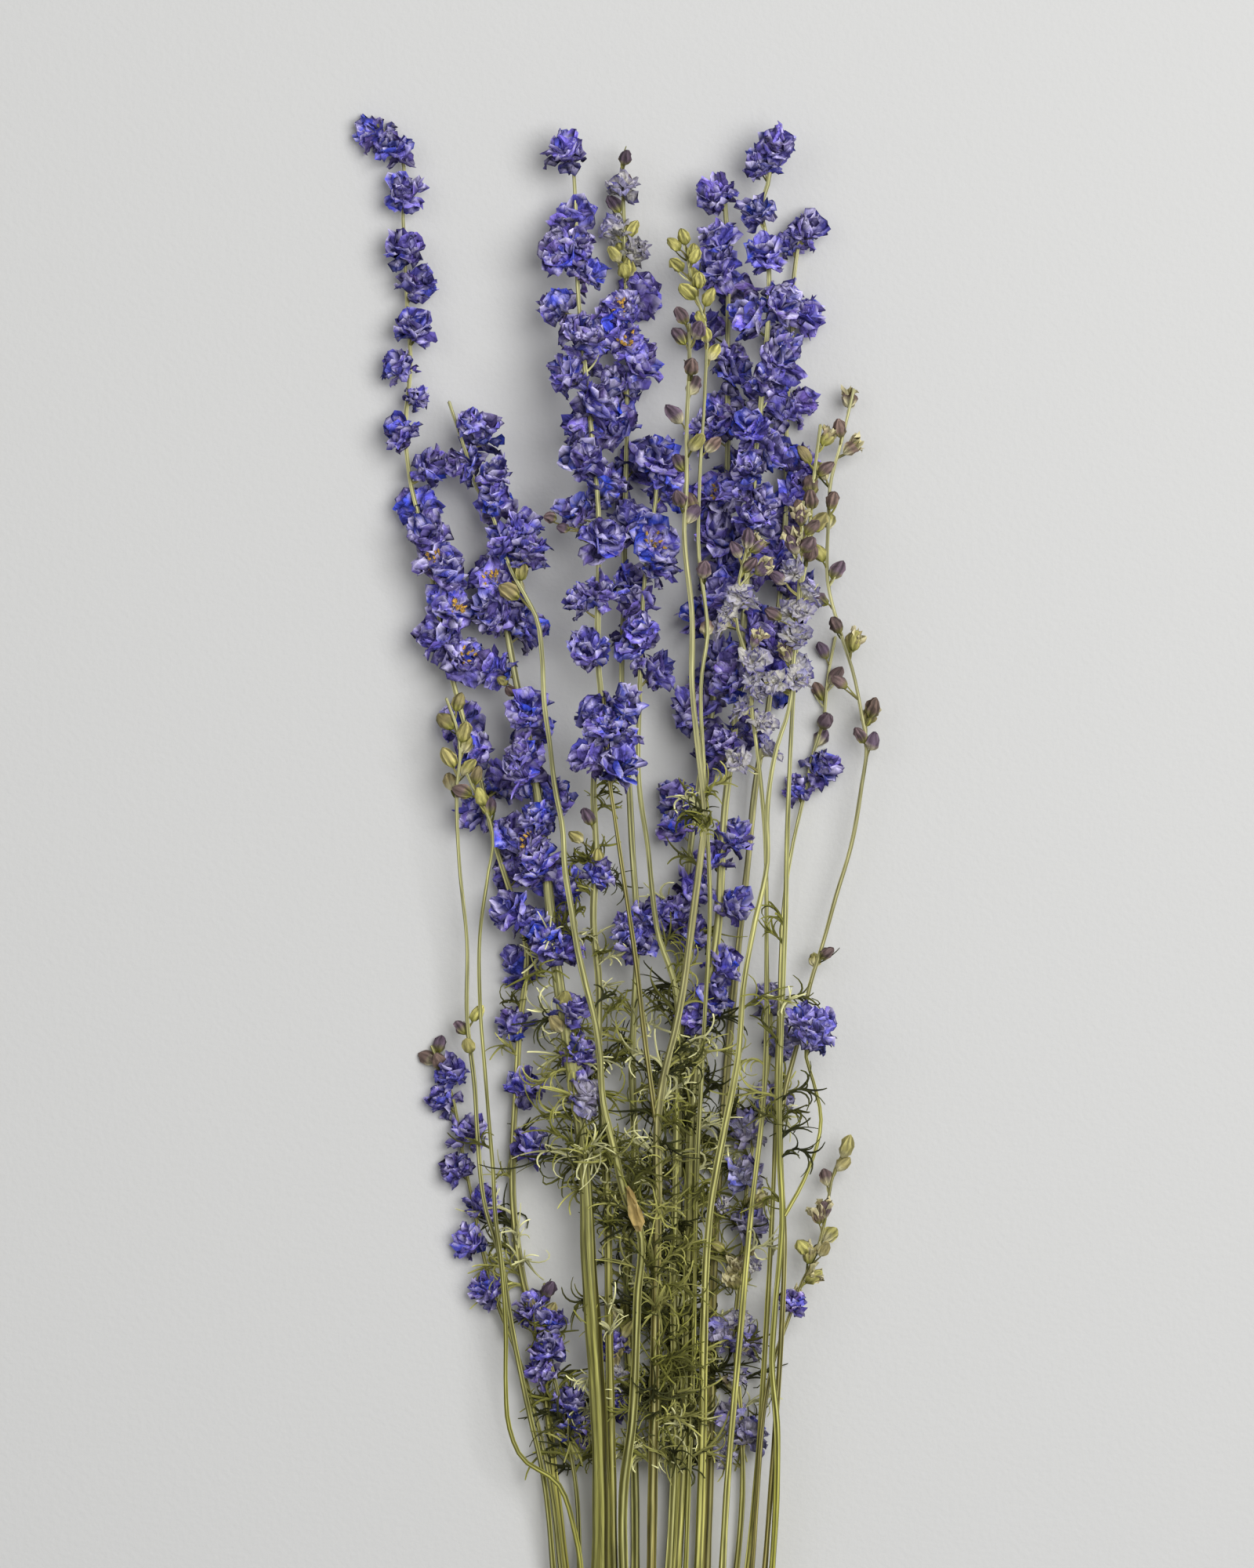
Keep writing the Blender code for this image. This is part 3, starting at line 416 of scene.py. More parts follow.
def grow(number, stalk):
    """A stalk before it is settled: its stem runs and its pieces, all measured along the stem."""
    rng = np.random.default_rng(100 + number)
    path, along = smooth_path(stalk["route"])
    runs = [(path, along, 0.0, stalk["stem"])]
    pieces = pieces_on(runs[0], spirals(stalk, "", rng), rng)
    if "branch" in stalk:
        side_path, side_along = smooth_path(stalk["branch"])
        fork = np.interp(side_path[0, 1], path[:, 1], along)
        thick = np.interp(fork, [0, along[-1]], stalk["stem"])
        runs.append((side_path, side_along, fork, (BRANCH_THICKNESS * thick, stalk["stem"][1])))
        pieces += pieces_on(runs[1], spirals(stalk, "branch_", rng), rng)
    return runs, pieces


def face_samples(corners, faces):
    """Points spread over triangles, no more than SAMPLE apart."""
    a, b, c = (corners[faces[:, i]] for i in range(3))
    longest = np.max([np.linalg.norm(b - a, axis=1), np.linalg.norm(c - b, axis=1),
                      np.linalg.norm(a - c, axis=1)], axis=0)
    counts = np.ceil(longest / SAMPLE).astype(int)
    samples = []
    for count in np.unique(counts):
        pick = counts == count
        i, j = np.meshgrid(np.arange(count + 1), np.arange(count + 1))
        inside = (i + j) <= count
        u = (i[inside] / count)[None, :, None]
        v = (j[inside] / count)[None, :, None]
        points = a[pick][:, None] + u * (b - a)[pick][:, None] + v * (c - a)[pick][:, None]
        samples.append(points.reshape(-1, 3))
    return np.concatenate(samples)


def stem_samples(path, along, offset, ends):
    """Points on the upper and lower side of a round stem, with the station of each."""
    station = np.arange(0, along[-1], SAMPLE)
    centre = along_path(path, along, station)
    side = unit(np.gradient(centre, axis=0)[:, ::-1] * (1, -1))
    radius = np.interp(station, [0, along[-1]], ends) + STEM_SLACK
    samples = []
    for across in np.linspace(-1, 1, STEM_LINES):
        for face in (-1, 1):
            height = face * radius * math.sqrt(1 - across**2)
            samples.append(np.column_stack([centre + side * (across * radius)[:, None], height]))
    return np.concatenate(samples), np.tile(offset + station, len(samples))


def rest(floor):
    """Heights of a springy stem that lies over a floor under its own weight.

    It is the beam of least bending and lowest weight: the stations that carry it are held
    at the floor, one that would pull down is let go, and the deepest one is added.
    """
    count = len(floor)
    bend = np.diff(np.eye(count), 2, axis=0)
    stiffness = bend.T @ bend
    load = SAG * STATION**4
    carried = {int(np.argmax(floor)), 0, count - 1}
    for _ in range(REST_ROUNDS):
        held = np.array(sorted(carried))
        free = np.setdiff1d(np.arange(count), held)
        heights = floor.copy()
        pull = -load - stiffness[np.ix_(free, held)] @ floor[held]
        heights[free] = np.linalg.solve(stiffness[np.ix_(free, free)], pull)
        push = (stiffness @ heights + load)[held]
        if push.min() < -PULL_TOLERANCE and len(held) > 2:
            carried.discard(int(held[np.argmin(push)]))
        elif (floor - heights).max() > HEIGHT_TOLERANCE:
            carried.add(int(np.argmax(floor - heights)))
        else:
            break
    return heights


def cells_under(samples):
    """The cells of the height map that hold points."""
    cell = ((samples[:, :2] - MAP_LOW) / CELL).astype(int)
    return cell[:, 0], cell[:, 1]


def settle(pile, samples, stations, run):
    """The few points of a stem, and their heights, that lay its stalk on the pile.

    Every piece clears what is below it. Heights between the points lie on straight runs.
    """
    path, along = run[:2]
    need = pile[cells_under(samples)] + GAP - samples[:, 2]
    places = np.arange(0, along[-1] + STATION, STATION)
    floor = np.full(len(places), NO_HEIGHT)
    np.maximum.at(floor, np.clip(np.round(stations / STATION).astype(int), 0, len(places) - 1), need)
    heights = np.interp(along, places, rest(floor))
    picked = few_points(np.column_stack([path, heights]), 0, len(path) - 1)
    knots = along[picked]
    heights = heights[picked]
    heights += np.max(need - np.interp(stations, knots, heights))
    return knots, heights


def pile_up(pile, samples, heights):
    """Raises the height map where the settled samples are now its top, and one cell round them."""
    top = np.full(pile.shape, NO_HEIGHT)
    np.maximum.at(top, cells_under(samples), samples[:, 2] + heights)
    for shift_x in (-1, 0, 1):
        for shift_y in (-1, 0, 1):
            np.maximum(pile, np.roll(top, (shift_x, shift_y), axis=(0, 1)), out=pile)


def lay_down():
    """Every stalk with its pieces at their final height, and its own height along its stem."""
    size = ((np.array(MAP_HIGH) - MAP_LOW) / CELL).astype(int)
    pile = np.full(size, -GAP - PRESS)
    laid = []
    for number, stalk in enumerate(STALKS):
        runs, pieces = grow(number, stalk)
        parts = [stem_samples(*run) for run in runs]
        for piece in pieces:
            points = face_samples(piece["corners"], piece["faces"])
            parts.append((points, np.full(len(points), piece["station"])))
        samples = np.concatenate([part[0] for part in parts])
        stations = np.concatenate([part[1] for part in parts])
        knots, heights = settle(pile, samples, stations, runs[0])
        pile_up(pile, samples, np.interp(stations, knots, heights))
        laid.append(dict(stalk, runs=runs, pieces=pieces, knots=knots, heights=heights))
    return laid


LAID = lay_down()

# The stems.
# Each is one dried, faintly ribbed straw, hollow where it was cut. Short side stalks leave it and
# carry the florets and the buds. The thick one in front is grooved like two stems grown together.
RING_STEP = 5.0            # length of stem from one ring of corners to the next
STEM_SIDES = 15
STEM_RIBS = 5
THICK_FROM = 4.0           # radius at the cut from which a stem is grooved
THICK_SIDES = 32
THICK_RIBS = 8
RIB_HEIGHT = 0.055         # against the stem's radius
GROOVE_DEPTH = 3.0         # against the height of its ribs
GROOVE_WIDTH = 0.03
CUT_RIM = 0.62             # radius of the hollow at the cut, against the stem's
CUT_DEPTH = 3.0
PALER_FROM = 180           # place along a stem from which it grows paler
PALER_OVER = 260           # and the length over which it does
ROUNDING = np.linspace(-8, 8, 9)           # places round a point of a stem that share its height
PRESSED_BELOW = 0.6        # height below which all points are pressed together
LOWEST = 0.05              # height that they stay above
PRESSED_FADE = 0.55
THREAD_LIFT = 0.12         # how far a thread's tip leaves the plane of its arc, against its length
THREAD_TAPER = 0.55        # share of its thickness that it loses
GRAIN_SPREAD = 900         # distance over which the grains of pieces are scattered
UP = np.array([0.0, 0.0, 1.0])


def dye(red, green, blue):
    """A colour as the eye reads it, 0 to 255, turned into amounts of light."""
    share = np.array([red, green, blue]) / 255
    return np.where(share <= 0.04045, share / 12.92, ((share + 0.055) / 1.055) ** 2.4)


def blend(first, second, share):
    """Colours from first to second where share goes from 0 to 1."""
    share = np.clip(share, 0, 1)[..., None]
    return first + (second - first) * share


def height_at(stalk, station):
    """Height of a stalk at places along its stem, with the corners of its straight runs rounded."""
    near = np.asarray(station, float)[..., None] + ROUNDING
    return np.interp(near, stalk["knots"], stalk["heights"]).mean(axis=-1)


def off_the_floor(points):
    """Points lower than PRESSED_BELOW crowd together just over the floor, as pressed petals do."""
    height = points[..., 2]
    depth = np.minimum(height, PRESSED_BELOW) - PRESSED_BELOW
    pressed = LOWEST + PRESSED_FADE * np.exp(depth / PRESSED_FADE)
    points[..., 2] = np.where(height < PRESSED_BELOW, pressed, height)
    return points


def in_scene(name, data):
    """A new object of the scene, for a mesh, a light or a camera."""
    made = bpy.data.objects.new(name, data)
    bpy.context.scene.collection.objects.link(made)
    return made


def bundle(kind, stalk, finish, parts, crease=0.7):
    """One piece made of many closed tubes, put in place of its stalk's plain solid.

    A part holds rings (tube, ring, side, xyz) in the routes' millimetres, ends (tube, 2, xyz), and
    a tint and a grain for each ring corner. Four neighbours in ring and side make a face, and
    a fan of triangles joins the outer rings to the ends. Without parts there is no piece.
    """
    if not parts:
        return
    node = stalk["name"]
    name = kind + "_" + node
    corners, faces, tints, grains = [], [], [], []
    start = 0
    for rings, ends, tint, grain in parts:
        tubes, count, sides = rings.shape[:3]
        size = count * sides + 2
        for whole, values in ((corners, rings), (tints, tint), (grains, grain)):
            close = ends if values is rings else values[:, [0, -1], 0]
            flat = values.reshape(tubes, -1, 3)
            whole.append(np.concatenate([close[:, :1], flat, close[:, 1:]], axis=1).reshape(-1, 3))
        grid = 1 + np.arange(count * sides).reshape(count, sides)
        turned = np.roll(grid, -1, axis=1)
        quads = np.stack([grid[:-1], turned[:-1], turned[1:], grid[1:]], axis=-1).reshape(-1, 4)
        root = np.stack([0 * grid[0], turned[0], grid[0]], axis=-1)
        tip = np.stack([0 * grid[0] + size - 1, grid[-1], turned[-1]], axis=-1)
        base = start + size * np.arange(tubes)[:, None, None]
        faces += (base + quads).reshape(-1, 4).tolist()
        faces += (base + np.concatenate([root, tip])).reshape(-1, 3).tolist()
        start += tubes * size
    places = off_the_floor(np.concatenate(corners)) - BUNCH_MIDDLE
    mesh = bpy.data.meshes.new(name)
    mesh.from_pydata((places * MM).tolist(), [], faces)
    colour = mesh.attributes.new("tint", "FLOAT_COLOR", "POINT")
    colour.data.foreach_set("color", np.insert(np.concatenate(tints), 3, 1.0, axis=1).ravel())
    pattern = mesh.attributes.new("grain", "FLOAT_VECTOR", "POINT")
    pattern.data.foreach_set("vector", np.concatenate(grains).ravel())
    mesh.shade_smooth()
    mesh.set_sharp_from_angle(angle=crease)
    mesh.materials.append(finish)
    piece = in_scene(name, mesh)
    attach(piece, "root")
    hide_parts(node)


def plug_in(tree, node, inputs):
    """Gives each input of a shader node its number, its colour or another node's output."""
    for label, value in inputs.items():
        if isinstance(value, bpy.types.NodeSocket):
            tree.links.new(value, node.inputs[label])
        else:
            node.inputs[label].default_value = value


def shade_node(tree, kind, inputs, **settings):
    """A new shader node with its settings and inputs."""
    node = tree.nodes.new(kind)
    for label, value in settings.items():
        setattr(node, label, value)
    plug_in(tree, node, inputs)
    return node


def dry_skin():
    """Shader group: a tint mottled along a grain, a ridge colour that paints highlights on stems and
    petals, and wrinkle height.
    """
    group = bpy.data.node_groups.new("dry_skin", "ShaderNodeTree")
    for label, kind in (("Tint", "NodeSocketColor"), ("Grain", "NodeSocketVector"),
                        ("Across", "NodeSocketFloat"), ("Along", "NodeSocketFloat"),
                        ("Contrast", "NodeSocketFloat"), ("Fleck_and_highlight", "NodeSocketColor"),
                        ("Fleck_and_highlight_share", "NodeSocketFloat")):
        group.interface.new_socket(label, in_out="INPUT", socket_type=kind)
    group.interface.new_socket("Colour", in_out="OUTPUT", socket_type="NodeSocketColor")
    group.interface.new_socket("Wrinkles", in_out="OUTPUT", socket_type="NodeSocketFloat")
    given = group.nodes.new("NodeGroupInput").outputs
    stretch = shade_node(group, "ShaderNodeCombineXYZ",
                         {"X": given["Across"], "Y": given["Across"], "Z": given["Along"]})
    place = shade_node(group, "ShaderNodeVectorMath", {0: given["Grain"], 1: stretch.outputs["Vector"]},
                       operation="MULTIPLY").outputs["Vector"]
    mottle = shade_node(group, "ShaderNodeTexNoise",
                        {"Vector": place, "Scale": 0.45, "Detail": 3.0, "Distortion": 0.6})
    light = shade_node(group, "ShaderNodeMapRange",
                       {"Value": mottle.outputs["Fac"], "From Min": 0.3, "From Max": 0.7,
                        "To Min": 0.3, "To Max": 1.85})
    shaded = shade_node(group, "ShaderNodeMix",
                        {0: given["Contrast"], 6: given["Tint"], 7: light.outputs["Result"]},
                        data_type="RGBA", blend_type="MULTIPLY", clamp_factor=True)
    creases = shade_node(group, "ShaderNodeTexNoise",
                         {"Vector": place, "Scale": 0.8, "Detail": 2.0, "Distortion": 0.9},
                         noise_type="RIDGED_MULTIFRACTAL").outputs["Fac"]
    # A second colour goes on the wrinkle ridges. On the stems and the petals it is a painted highlight.
    ridge_mask = shade_node(group, "ShaderNodeMapRange",
                       {"Value": creases, "From Min": 0.85, "From Max": 1.5})
    share = shade_node(group, "ShaderNodeMath", {0: ridge_mask.outputs["Result"], 1: given["Fleck_and_highlight_share"]},
                       operation="MULTIPLY", use_clamp=True)
    fleck_and_highlight_mixed = shade_node(group, "ShaderNodeMix",
                         {0: share.outputs["Value"], 6: shaded.outputs[2], 7: given["Fleck_and_highlight"]},
                         data_type="RGBA")
    shade_node(group, "NodeGroupOutput", {"Colour": fleck_and_highlight_mixed.outputs[2], "Wrinkles": creases})
    return group


DRY_SKIN = dry_skin()


def dry_finish(name, across, along, contrast, fleck_and_highlight, fleck_and_highlight_share, depth, roughness):
    """A dry plant finish. Its tint and grain come from the piece; depth in mm is of its wrinkles."""
    made = bpy.data.materials.new(name)
    made.use_nodes = True
    tree = made.node_tree
    tint = shade_node(tree, "ShaderNodeAttribute", {}, attribute_name="tint")
    grain = shade_node(tree, "ShaderNodeAttribute", {}, attribute_name="grain")
    skin = shade_node(tree, "ShaderNodeGroup", {}, node_tree=DRY_SKIN)
    plug_in(tree, skin, {"Tint": tint.outputs["Color"], "Grain": grain.outputs["Vector"],
                         "Across": across, "Along": along, "Contrast": contrast,
                         "Fleck_and_highlight": (*fleck_and_highlight, 1.0), "Fleck_and_highlight_share": fleck_and_highlight_share})
    bump = shade_node(tree, "ShaderNodeBump", {"Strength": 1.0, "Distance": depth * MM,
                                               "Height": skin.outputs["Wrinkles"]})
    plug_in(tree, tree.nodes["Principled BSDF"],
            {"Normal": bump.outputs["Normal"], "Base Color": skin.outputs["Colour"],
             "Roughness": roughness, "Specular IOR Level": 0.25})
    return made


def grid_points(x, y, z):
    """Points of a grid from their x, y and z, each of them spread over the whole grid."""
    return np.stack(np.broadcast_arrays(x, y, z), axis=-1)


def stem_rings(stalk, run, rng):
    """A tapering tube round a stem's path: radius times one plus RIB_HEIGHT times a cosine round it.

    The thick one has a groove too, an exponential of the angle from its line. The first rings turn
    inwards at the cut, and the last one closes on the tip.
    """
    path, along, offset, ends = run
    thick = ends[0] > THICK_FROM
    sides, ribs = (THICK_SIDES, THICK_RIBS) if thick else (STEM_SIDES, STEM_RIBS)
    count = int(along[-1] / RING_STEP) + 1
    station = np.linspace(0, along[-1], count)
    centre = np.column_stack([along_path(path, along, station), height_at(stalk, offset + station)])
    tangent = unit(np.gradient(centre, axis=0))
    side = unit(np.cross(tangent, UP))
    upper = np.cross(side, tangent)
    radius = np.interp(station, [0, along[-1]], ends)
    radius *= 1 + 0.05 * np.sin(station / 17 + rng.uniform(0, 6)) + 0.04 * np.sin(station / 5.3)
    turn = turns(sides)
    twist = rng.uniform(0, 6) + rng.uniform(-1, 1) * station / 300
    swell = np.cos(ribs * (turn[None, :] + twist[:, None]))
    if thick:
        groove = np.cos(turn[None, :] - math.pi / 2 + 0.5 + 0.4 * np.sin(station / 60)[:, None])
        swell = 0.5 * swell - GROOVE_DEPTH * np.exp((groove - 1) / GROOVE_WIDTH)
    out = radius[:, None] * (1 + RIB_HEIGHT * swell)
    ring = (upper[:, None] * np.cos(turn)[None, :, None] + side[:, None] * np.sin(turn)[None, :, None])
    rings = centre[:, None] + ring * out[..., None]
    cut = centre[0] + (rings[0] - centre[0]) * CUT_RIM
    hollow = cut + tangent[0] * CUT_DEPTH
    rings = np.concatenate([[hollow], [cut], rings])
    grain = grid_points(np.cos(turn) * out, np.sin(turn) * out, station[:, None])
    grain = grain + rng.uniform(0, GRAIN_SPREAD, 3)
    grain = np.concatenate([grain[:1], grain[:1], grain])
    tips = np.stack([centre[0] + tangent[0] * CUT_DEPTH, centre[-1] + tangent[-1] * 0.8 * ends[1]])
    return rings, tips, swell, station, grain


STEM_DYES = [dye(162, 160, 62), dye(196, 192, 104), dye(160, 158, 84), dye(182, 176, 88), dye(142, 130, 66)]
# The grooves between the ribs take painted shade, and the rib crests a painted highlight.
GROOVE_SHADE_DYE = dye(62, 58, 18)
UPPER_DYE = dye(208, 206, 158)
CREST_HIGHLIGHT_DYE = dye(228, 226, 158)
CUT_DYE = dye(205, 196, 150)


def stem_part(stalk, run, rng):
    """A stem's tube with its colours: painted shade between the ribs, a painted highlight on their crests,
    paler up where it flowers.
    """
    rings, tips, swell, station, grain = stem_rings(stalk, run, rng)
    base = STEM_DYES[rng.integers(len(STEM_DYES))]
    # Painted shade in the grooves between the ribs, darkest in the thick stem's deep groove.
    tint = blend(GROOVE_SHADE_DYE, base * rng.uniform(0.75, 1.5), 0.5 + 0.65 * swell)
    paler = np.clip((station[:, None] - PALER_FROM) / PALER_OVER, 0, 1) * 0.75
    # Paler up the stem. It is a little more so on the crests, and that extra is painted highlight.
    tint = blend(tint, UPPER_DYE, paler * (0.75 + 0.25 * swell))
    # A painted highlight along the rib crests.
    tint = blend(tint, CREST_HIGHLIGHT_DYE, 0.8 * (swell - 0.35))
    cut = np.broadcast_to(CUT_DYE, tint[:1].shape)
    # The ring deep in the hollow of the cut is darkened as painted shade.
    tint = np.concatenate([cut * 0.3, cut, tint])
    return rings[None], tips[None], tint[None], grain[None]


def threads(heading, bend, length, curl, radius, count, sides):
    """Thin tapering tubes that curl: each follows an arc of `curl` radians and rises out of it.

    Place at t along it: length / curl * (sin(curl t) * heading + (1 - cos(curl t)) * bend),
    plus THREAD_LIFT * length * t squared along the third direction.
    """
    t = np.linspace(0.0, 0.96, count)[None, :, None]
    curl = curl[:, None, None]
    length = length[:, None, None]
    heading = heading[:, None]
    bend = bend[:, None]
    lift = np.cross(heading, bend)
    centre = length / curl * (np.sin(curl * t) * heading + (1 - np.cos(curl * t)) * bend)
    centre = centre + THREAD_LIFT * length * t**2 * lift
    tangent = np.cos(curl * t) * heading + np.sin(curl * t) * bend
    second = np.cross(tangent, lift)
    turn = turns(sides)[None, None, :, None]
    out = (radius[:, None, None] * (1 - THREAD_TAPER * t))[..., None]
    rings = centre[:, :, None] + out * (np.cos(turn) * lift[:, :, None] + np.sin(turn) * second[:, :, None])
    tip = centre[:, -1] + tangent[:, -1] * length[:, 0] * 0.04
    return rings, np.stack([centre[:, 0] - tangent[:, 0] * 0.1, tip], axis=1)


def set_down(rings, ends, roots, flatness, start=None):
    """Shapes moved by `start`, pressed flatter, then put where their roots are."""
    if start is not None:
        rings = rings + start[:, None, None]
        ends = ends + start[:, None]
    pressed = np.array([1, 1, flatness])
    return rings * pressed + roots[:, None, None], ends * pressed + roots[:, None]


def plain_grain(rings, rng):
    """Grain of thin threads: place round and along each, shifted for each thread."""
    count, sides = rings.shape[1:3]
    turn = turns(sides)
    local = grid_points(np.cos(turn), np.sin(turn), 2.0 * np.arange(count)[:, None])
    return local[None] + rng.uniform(0, GRAIN_SPREAD, (len(rings), 1, 1, 3))


def values_of(pieces, key):
    """What each piece holds under a key, as rows."""
    return np.array([piece[key] for piece in pieces])


def roots_of(stalk, pieces):
    """Roots of grown pieces in the routes' millimetres, on the settled stem's axis."""
    return np.column_stack([values_of(pieces, "root"), height_at(stalk, values_of(pieces, "station"))])


PEDICEL_DYE = dye(140, 134, 80)
PEDICEL_RADII = (0.5, 0.75)
PEDICEL_CURLS = (0.25, 0.8)
PEDICEL_RINGS = 5
PEDICEL_SIDES = 6
BUD_LENGTH = 0.72          # length of a bud without its side stalk, against its size
LONE_LENGTH = 0.85         # the same for one on a longer side stalk
LONE_RISE = 0.35           # how far such a side stalk rises, against its reach
LONE_UP = 1.1              # how much a rosette on one turns upwards
FOOT = dict(floret=0.4, bud=0.3)           # length of a piece's own side stalk, against its size
PALE_STALKS = ("spike_grey", "spike_pale_right")
# Share of a stalk's florets that have one more beside them
CROWDED_ELSEWHERE = 0.1
CROWDED = dict(spike_thick_stem=0.4, spike_right_inner=0.3, spike_right_tall=0.25, spike_centre_left=0.25)
FLORET_SIDES = 55          # most degrees from straight up of the sides that further florets grow to
FLORET_TILTS = (32, 58)
FLORET_SIZES = (0.75, 0.95)
# How far right of their side stalks' line florets sit, and up to which y
SHIFTED = dict(spike_far_left=(3.0, 530), spike_left_front=(5.0, 700), spike_centre_left=(-2.5, 700),
               spike_right_inner=(-2.0, 700))
# Florets that face up: y, side and tilt in degrees, radius
FACING = dict(spike_far_left=[(439, 55, 66, 10.5), (459, 60, 66, 9.0), (479, 95, 60, 8.5)],
              spike_thick_stem=[(471, 90, 60, 9.0), (368, 150, 60, 9.0)],
              spike_centre_right=[(576, 110, 62, 8.5), (562, 90, 62, 8.5)],
              spike_middle_low=[(485, 80, 72, 10.5)], spike_right_inner=[(505, 100, 65, 9.0)])
# Small cream rosettes, and buds on longer side stalks: x, y, radius or length
ROSETTES = dict(
    spike_low_right=[(44, 185, 5.0), (43, 162, 4.5), (37, 131, 5.5), (36, 228, 3.5), (50, 205, 4.0)],
    spike_pale_right=[(55, 431, 6.0), (67, 433, 6.5), (47, 432, 5.5), (68, 459, 6.0)],
    spike_grey=[(44, 466, 6.0), (38, 459, 5.5), (54, 416, 6.0), (41, 401, 6.0)],
    spike_right_inner=[(20, 236, 5.0)], sprig_base_middle=[(-3, 163, 5.0)])
MORE_BUDS = dict(
    stalk_thin_centre=[(18, 600, 8), (22, 603, 8), (26, 597, 8), (19, 592, 8), (28, 586, 8)],
    stalk_forked=[(21, 572, 9), (28, 566, 9)], spike_centre_right=[(-5, 597, 9), (1, 592, 9)],
    spike_centre_left=[(-15, 379, 9), (-11, 363, 9), (-20, 371, 8), (-30, 494, 6), (-25, 490, 6)],
    spike_thick_stem=[(-48, 431, 5), (-45, 427, 5)], spike_left_front=[(-46, 466, 11)],
    spike_pale_right=[(64, 484, 10), (58, 471, 9), (56, 457, 9), (61, 442, 9)],
    spike_grey=[(47, 486, 10), (53, 474, 9), (50, 447, 8)],
    spike_low_right=[(52, 229, 8), (35, 212, 7), (43, 204, 8)], sprig_base_middle=[(-3, 172, 7)],
    sprig_bud_right=[(74, 224, 8), (68, 212, 8), (77, 211, 8), (86, 251, 12)],
    stalk_far_right=[(89, 447, 10), (82, 431, 9), (96, 421, 10), (96, 408, 9)])


def reaching(stalk, x, y, size, kind, style):
    """A piece whose middle is at x, y. Its root is on the stem a little lower down."""
    drop = 3 + 0.5 * size
    piece = growth(stalk["runs"][0], min(y - drop, stalk["route"][-1][1] - 1), 0.0, 0.0)
    away = np.array([x, y, 0.0]) - (*piece["root"], 0.0)
    away[2] = LONE_RISE * np.linalg.norm(away)
    axis = unit(away)
    foot = axis * max(1.0, np.linalg.norm(away) - 0.5 * size)
    if kind == "floret":
        axis = unit(axis + LONE_UP * UP)
    inner = unit(np.cross(axis, (0.3, 0.5, -0.7)))
    return dict(piece, kind=kind, style=style, axis=axis, inner=inner, foot=foot, size=size,
                long=LONE_LENGTH * size)


def dress(stalk, rng):
    """All that grows on a stalk, as pieces with a style and a foot, where their side stalks end."""
    pale = stalk["name"] in PALE_STALKS
    pieces = []
    for piece in stalk["pieces"]:
        if piece["kind"] != "leaf":
            style = "bud" if piece["kind"] == "bud" else "rosette" if pale else "full"
            pieces.append(dict(piece, style=style, long=BUD_LENGTH * piece["size"]))
    for prefix, run in zip(("", "branch_"), stalk["runs"]):
        for low, high, count, size in stalk.get(prefix + "florets", []):
            for i in range(count):
                y = low + (high - low) * (i + 1 + rng.uniform(-0.3, 0.3)) / count
                side = math.radians(90 + (-1) ** i * rng.uniform(0, FLORET_SIDES))
                tilt = math.radians(rng.uniform(*FLORET_TILTS))
                grown = size * rng.uniform(*FLORET_SIZES)
                if rng.uniform() < CROWDED.get(stalk["name"], CROWDED_ELSEWHERE):
                    piece = growth(run, y - root_below("floret", tilt, grown), side, tilt)
                    style = "rosette" if pale else "more"
                    pieces.append(dict(piece, kind="floret", style=style, size=grown))
    for y, side, tilt, size in FACING.get(stalk["name"], []):
        tilt = math.radians(tilt)
        piece = growth(stalk["runs"][0], y - root_below("floret", tilt, size), math.radians(side), tilt)
        pieces.append(dict(piece, kind="floret", style="open", size=size))
    shift, top = SHIFTED.get(stalk["name"], (0.0, 0))
    for piece in pieces:
        reach = piece["size"] * FOOT[piece["kind"]]
        piece["foot"] = piece["axis"] * reach
        if piece["kind"] == "floret" and piece["root"][1] <= top:
            piece["foot"] = piece["foot"] + np.array([shift, 0.0, 0.0])
    for kind, style, table in (("floret", "cream", ROSETTES), ("bud", "bud", MORE_BUDS)):
        pieces += [reaching(stalk, x, y, size, kind, style) for x, y, size in table.get(stalk["name"], [])]
    return pieces


def pedicel_part(stalk, pieces, rng):
    """The side stalks of a stem's florets and buds, each a slight arc that ends at the piece's foot."""
    if not pieces:
        return []
    foot = values_of(pieces, "foot")
    reach = np.linalg.norm(foot, axis=1)
    axis = unit(foot)
    inner = unit(np.cross(axis, rng.normal(0, 1, axis.shape)))
    curl = rng.uniform(*PEDICEL_CURLS, len(pieces))
    half = curl[:, None] / 2
    heading = np.cos(half) * axis - np.sin(half) * inner
    bend = np.cos(half) * inner + np.sin(half) * axis
    length = reach * (curl / 2) / np.sin(curl / 2) * 1.05
    radius = rng.uniform(*PEDICEL_RADII, len(pieces))
    rings, ends = threads(heading, bend, length, curl, radius, PEDICEL_RINGS, PEDICEL_SIDES)
    rings, ends = set_down(rings, ends, roots_of(stalk, pieces), FLATNESS["floret"])
    tint = np.broadcast_to(PEDICEL_DYE, rings.shape) * rng.uniform(0.6, 1.2, (len(pieces), 1, 1, 1))
    return [(rings, ends, tint, plain_grain(rings, rng))]


DRESSED = [dress(stalk, np.random.default_rng(200 + number)) for number, stalk in enumerate(LAID)]
# Its pale ridge colour is a painted highlight on the straw.
STEM_FINISH = dry_finish("ribbed_straw", across=2.4, along=0.09, contrast=0.75,
                         fleck_and_highlight=dye(236, 232, 186), fleck_and_highlight_share=0.4, depth=0.3, roughness=0.45)
for number, stalk in enumerate(LAID):
    rng = np.random.default_rng(300 + number)
    parts = [stem_part(stalk, run, rng) for run in stalk["runs"]]
    parts += pedicel_part(stalk, DRESSED[number], rng)
    bundle("stem", stalk, STEM_FINISH, parts)

